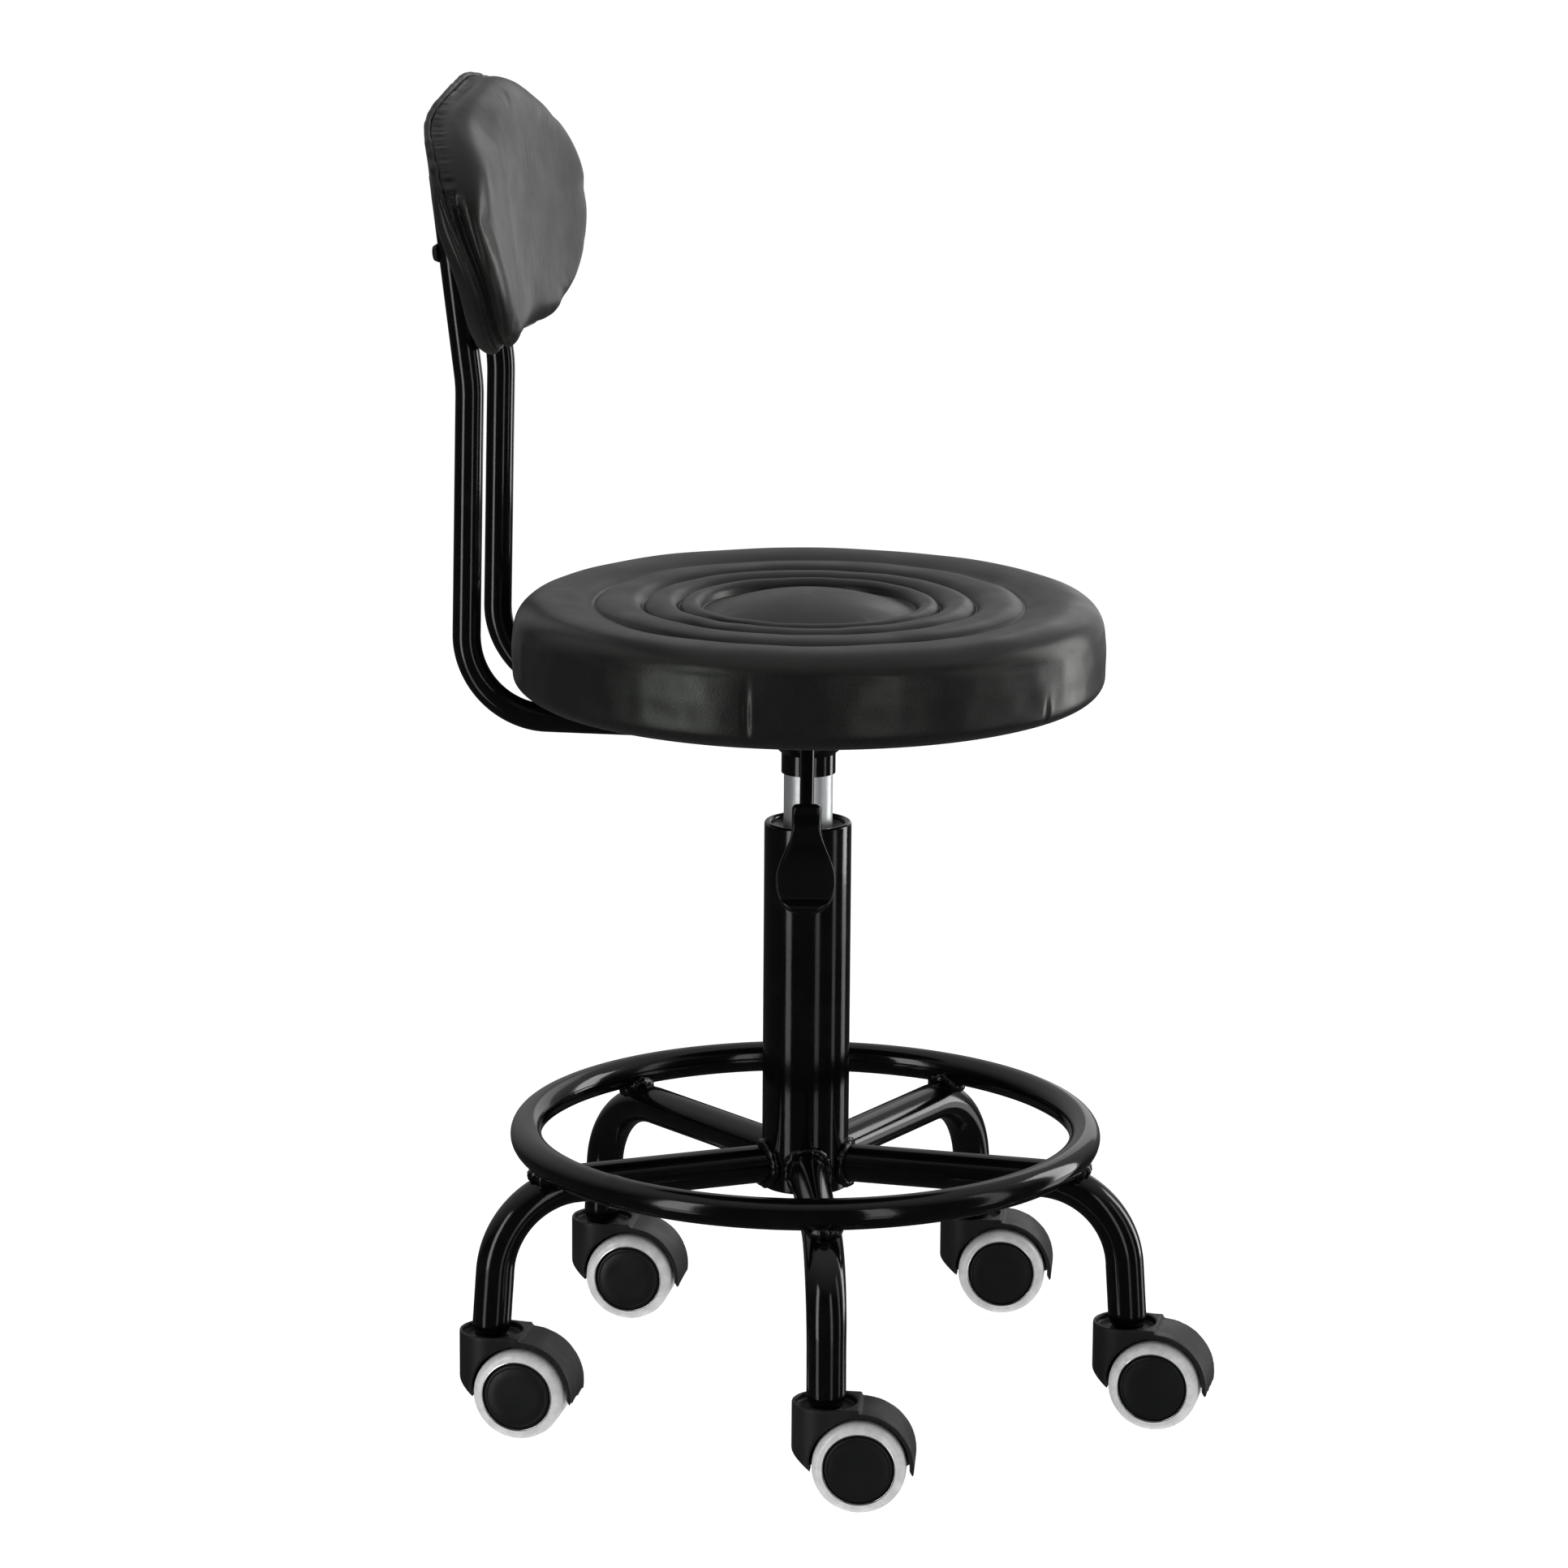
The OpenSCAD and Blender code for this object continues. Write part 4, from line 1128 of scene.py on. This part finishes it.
def make_lever(paint, plastic):
    """Bent rod and its flat paddle, which has a bulb outline and a rounded lip."""
    place = lever_place()
    turn = math.pi / 2 - LEVER_SLOPE
    corner_x = LEVER_BEND_X + LEVER_BEND_R * math.tan(turn / 2)
    down = Vector((math.sin(LEVER_SLOPE), 0, -math.cos(LEVER_SLOPE)))
    corner = Vector((corner_x, 0, 0))
    start = corner + down * (LEVER_BEND_R * math.tan(turn / 2) + HANDLE_LEN)
    end = start + down * 0.014
    corners = [Vector((LEVER_TIP_X, 0, 0)), corner, end]
    path = [place @ p for p in rounded_path(corners, [LEVER_BEND_R], 0.001)]
    new_piece("lever_rod_bent", sweep(path, LEVER_R, 28), [paint], "lever", ["lever_rod"])
    face_out = Vector((math.cos(LEVER_SLOPE), 0, math.sin(LEVER_SLOPE)))
    paddle_place = place @ axes_matrix(down, Vector((0, 1, 0)), face_out, start)
    rings = []
    for k in range(61):
        s = 1 - (1 - k / 60) ** 1.15
        rings.append((s, paddle_half_w(s), paddle_half_t(s)))
    across = 24
    verts = []
    for s, half_w, half_t in rings:
        for face in (1, -1):
            for n in range(across):
                y = half_w * math.sin(math.pi / 2 * (2 * n / across - 1)) * face
                edge = min(1.0, (half_w - abs(y)) / 0.0026)
                z = half_t * (0.12 + 0.88 * math.sqrt(1 - (1 - edge) ** 2))
                if face == 1:
                    z -= paddle_dish(s, half_w - abs(y))
                verts.append(paddle_place @ Vector((s * PADDLE_LEN, y, z * face)))
    around = 2 * across
    faces = tube_faces(len(rings), around)
    faces.append(tuple(range(around)))
    faces.append(tuple((len(rings) - 1) * around + n for n in reversed(range(around))))
    new_piece("lever_paddle_moulded", (verts, faces), [plastic], "lever",
              ["lever_paddle"])


def paddle_dish(s, edge):
    """Depth of the dish in the paddle's outer face at a share s of its length, edge in from its side."""
    depth = 0.0009
    ends = smooth((s - 0.04) / 0.06) * smooth((0.99 - s) / 0.14)
    return depth * smooth((edge - 0.0006) / 0.0016) * ends


def paddle_half_w(s):
    """Half the paddle's width at a share s of its length."""
    neck, widest = 0.00835, 0.01665
    if s < 0.22:
        edge = min(1.0, s / 0.03)
        return neck * (0.86 + 0.14 * math.sqrt(1 - (1 - edge) ** 2)) - 0.0003 * s
    if s < 0.68:
        t = (s - 0.22) / 0.46
        return neck + (widest - neck) * (t * t * (3 - 2 * t)) ** 0.92
    t = (s - 0.68) / 0.32
    return widest * math.sqrt(max(0.0004, 1 - t ** 2.7))


def paddle_half_t(s):
    """Half the paddle's thickness at a share s of its length."""
    thick, thin = 0.0055, 0.0025
    if s < 0.2:
        edge = min(1.0, s / 0.03)
        return thick * (0.8 + 0.2 * math.sqrt(1 - (1 - edge) ** 2))
    if s < 0.36:
        t = (s - 0.2) / 0.16
        return thick + (thin - thick) * t * t * (3 - 2 * t)
    if s < 0.86:
        return thin
    lip = thin + 0.0012 * smooth((s - 0.86) / 0.06)
    t = max(0.0, (s - 0.95) / 0.05)
    return lip * math.sqrt(max(0.04, 1 - t ** 2))


# ---------- casters ----------


def make_hood(i, plastic):
    """Caster hood: the CAD hood with every edge rounded, as moulded plastic has, and trimmed."""
    node = f"caster_{i}_hood"
    obj = copy_of_node(node, node + "_moulded")
    modify(obj, "REMESH", mode="VOXEL", voxel_size=0.0007)
    modify(obj, "SMOOTH", factor=0.6, iterations=5)
    bake(obj)
    trim_hood(obj, i)
    dress(obj, plastic)
    place_piece(obj, f"caster_{i}", [node])


def trim_hood(obj, i):
    """Lifts the lower edge of the hood's leading wall, which slants up to the hood's front."""
    stem = Vector(joint(f"caster_{i}_swivel")["pos_m"])
    axle = Vector(joint(f"wheel_{i}_right_spin")["pos_m"])
    trail = Vector((axle.x - stem.x, axle.y - stem.y, 0)).normalized()
    edge_x, edge_height, slope = -0.0075, 0.0225, 0.72
    for vertex in obj.data.vertices:
        x = (vertex.co - stem).dot(trail)
        if x < edge_x + 0.001:
            line = above_floor(edge_height + (edge_x - x) * slope)
            vertex.co.z = max(vertex.co.z, line)


def wheel_profile(width, r):
    """Section of a wheel from its inner face to its outer one, as (radius, distance out, material)."""
    cap_r = r * 0.74
    profile = [(0.004, 0.0008, 1), (0.012, 0.0008, 1), (0.0125, 0.003, 1), (r - 0.0075, 0.003, 1)]
    profile += [(r - 0.007, 0.0004, 0)]
    profile += [(x, y, 0) for x, y in arc(r - 0.0018, 0.0018, 0.0018, -90, 0, 6)]
    profile += [(r, width * 0.4, 0), (r, width * 0.6, 0)]
    profile += [(x, y, 0) for x, y in arc(r - 0.0052, width - 0.0052, 0.0052, 0, 78, 10)]
    line = [(0.0012, -0.0001, 0), (0.001, 0.0001, 2), (0.0005, 0, 2)]
    gap = [(0.0003, -0.0014, 1), (-0.0002, -0.0016, 1), (-0.0004, -0.0006, 1)]
    edge = [(-0.0009, -0.0001, 1), (-0.0021, 0.0002, 1), (-0.0024, 0, 1), (-0.0028, 0.0002, 1)]
    profile += [(cap_r + dx, width + dy, m) for dx, dy, m in line + gap + edge]
    profile += [(cap_r * share, width + 0.0003, 1) for share in (0.6, 0.3, 0)]
    return profile


def make_wheel(i, side, tread, hub, rim):
    """Wheel with a silver tread ring, a bright line and a black cap."""
    spin = joint(f"wheel_{i}_{side}_spin")
    centre, axis = Vector(spin["pos_m"]), Vector(spin["axis"])
    out = axis if side == "right" else -axis
    low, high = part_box(f"caster_{i}_wheel_{side}")
    r = (high.z - low.z) / 2
    turn = out.to_track_quat("Z", "Y").to_matrix().to_4x4()
    place = Matrix.Translation(centre + out * WHEEL_INNER) @ turn
    profile = wheel_profile(WHEEL_WIDTH, r)
    steps = 96
    wheel = lathe([(x, z) for x, z, _ in profile], steps, place)
    face_kinds = [kind for _, _, kind in profile[1:] for _ in range(steps)]
    new_piece(f"caster_{i}_wheel_{side}_finished", wheel, [tread, hub, rim], f"wheel_{i}_{side}",
              [f"caster_{i}_wheel_{side}"], face_kinds)


# ---------- stage, light and camera ----------


def stage_surface(name, mesh, albedo, glow):
    """A white surface of the studio, which glows evenly. Gloss surfaces don't mirror it."""
    obj = new_object(name, *mesh)
    look = Look("white_" + name, (albedo,) * 3, 0.8, specular=0.0)
    look.set("Emission Color", (1, 1, 1, 1))
    look.set("Emission Strength", glow)
    obj.data.materials.append(look.material)
    obj.visible_glossy = False
    return obj


def make_floor():
    """A wide white floor, lit evenly as if from below."""
    size = 60
    corners = [(-size, -size, FLOOR), (size, -size, FLOOR), (size, size, FLOOR), (-size, size, FLOOR)]
    stage_surface("floor", (corners, [(0, 1, 2, 3)]), 0.6, 0.85)


def make_backdrop():
    """A white wall far round the stool, for low angles. It lights nothing."""
    r, top = 30, 40
    backdrop = stage_surface("backdrop", lathe([(r, FLOOR), (r, top)], 64), 0.0, 1.0)
    backdrop.visible_diffuse = False
    backdrop.visible_shadow = False


def strip(name, turn, width, radiance, bottom=-1.0, top=1.8):
    """An upright softbox, turned round the stool from the camera's side, between two heights."""
    a = math.radians(VIEW_AZIMUTH + turn)
    away = Vector((math.sin(a), -math.cos(a), 0))
    light = bpy.data.lights.new(name, "AREA")
    light.shape = "RECTANGLE"
    light.size, light.size_y = width, top - bottom
    light.energy = radiance * math.pi * width * (top - bottom)
    obj = bpy.data.objects.new(name, light)
    obj.location = away * SOFTBOX_DISTANCE + Vector((0, 0, above_floor((top + bottom) / 2)))
    obj.rotation_mode = "QUATERNION"
    obj.rotation_quaternion = (-away).to_track_quat("-Z", "Y")
    obj.visible_camera = False
    bpy.context.collection.objects.link(obj)


def make_camera():
    """A long lens, level with the photograph's viewing angle."""
    a, e, roll = (math.radians(x) for x in (VIEW_AZIMUTH, VIEW_ELEVATION, VIEW_ROLL))
    back = Vector((math.sin(a) * math.cos(e), -math.cos(a) * math.cos(e), math.sin(e)))
    right = Vector((math.cos(a), math.sin(a), 0))
    up = back.cross(right)
    rolled_right = right * math.cos(roll) + up * math.sin(roll)
    rolled_up = up * math.cos(roll) - right * math.sin(roll)
    data = bpy.data.cameras.new("camera")
    data.sensor_width = 36
    data.lens = VIEW_LENS
    data.shift_x = VIEW_SHIFT
    camera = bpy.data.objects.new("camera", data)
    target = Vector((0, 0, above_floor(VIEW_TARGET)))
    camera.matrix_world = axes_matrix(rolled_right, rolled_up, back, target + back * VIEW_DISTANCE)
    bpy.context.collection.objects.link(camera)
    bpy.context.scene.camera = camera


def make_light():
    """Upright softboxes, brighter above than near the floor, in a room that is light only at the back."""
    world = bpy.data.worlds.new("studio")
    world.use_nodes = True
    nodes, links = world.node_tree.nodes, world.node_tree.links
    place = nodes.new("ShaderNodeTexCoord")
    toward_back = nodes.new("ShaderNodeVectorMath")
    toward_back.operation = "DOT_PRODUCT"
    a = math.radians(VIEW_AZIMUTH)
    toward_back.inputs[1].default_value = (-math.sin(a) * 0.55, math.cos(a) * 0.55, 1.0)
    ramp = nodes.new("ShaderNodeMapRange")
    ramp.inputs["From Min"].default_value = 0.2
    ramp.inputs["From Max"].default_value = 0.85
    ramp.inputs["To Min"].default_value = 0.035
    ramp.inputs["To Max"].default_value = 0.42
    links.new(place.outputs["Generated"], toward_back.inputs[0])
    links.new(toward_back.outputs["Value"], ramp.inputs["Value"])
    links.new(ramp.outputs["Result"], nodes["Background"].inputs["Strength"])
    nodes["Background"].inputs["Color"].default_value = (1, 1, 1, 1)
    bpy.context.scene.world = world
    for name, turn, width, high, low in (
        ("strip_left", -49, 0.55, 3.6, 1.5),
        ("strip_near_right", 28, 0.4, 1.7, 0.8),
        ("strip_right", 76, 0.35, 1.2, 0.9),
        ("strip_far_right", 115, 0.65, 4.6, 1.3),
    ):
        strip(name + "_high", turn, width, high, bottom=-0.22)
        strip(name + "_low", turn, width, low, top=-0.22)
    strip("strip_back", 160, 0.9, 0.6, bottom=0.1)
    bpy.context.scene.view_settings.view_transform = "Standard"


# ---------- build ----------

make_camera()
make_light()
make_floor()
make_backdrop()

PAINT = enamel()
LEATHER = leatherette()
PIPING = seam_thread()
HOOD = hood_plastic()
PLASTIC = satin_plastic()
PADDLE = satin_plastic("paddle_plastic", (0.002, 0.0023, 0.002), 0.2)
GUIDE = satin_plastic("guide_plastic", (0.085, 0.085, 0.08), 0.32)
HUB = hub_plastic()
TREAD = tread_plastic()
RIM = polished_rim()
CHROME = chrome()
ZINC = zinc()
BLACK_STEEL = black_steel()
PLYWOOD = plywood()
RUBBER = rubber()

for node in ("gas_cylinder", "piston_rod"):
    paint_node(node, CHROME)
for node in ("thrust_bearing", "rod_clip", "caster_stems", "lever_pivot_pin", "release_pin",
             "seat_tee_nuts", "backrest_tee_nuts", "piston", *[f"caster_{i}_axle" for i in LEGS]):
    paint_node(node, ZINC)
for node in ("column_end_cap", "leg_plugs", "cylinder_gland"):
    paint_node(node, PLASTIC)
paint_node("backrest_board", PLYWOOD)
paint_node("bump_stop", RUBBER)
for node in ("mounting_plate", "backrest_bracket", "taper_socket"):
    softened(node, "seat", PAINT, 0.0006)
softened("seat_screws", "seat", ZINC, 0.0006)
softened("backrest_bolts", "seat", BLACK_STEEL, 0.0005)

make_legs(PAINT)
RING_R, RING_TUBE_R, RING_Z = make_foot_ring(PAINT)
make_welds(weld(), RING_R, RING_TUBE_R, RING_Z)
make_column(PAINT, GUIDE)
make_backrest_tubes(PAINT, PLASTIC)
make_pad(LEATHER, PIPING)
make_seat(LEATHER)
make_seat_board(PLYWOOD)
make_socket_flare(PAINT)
make_lever(PAINT, PADDLE)
for i in LEGS:
    make_hood(i, HOOD)
    for side in SIDES:
        make_wheel(i, side, TREAD, HUB, RIM)
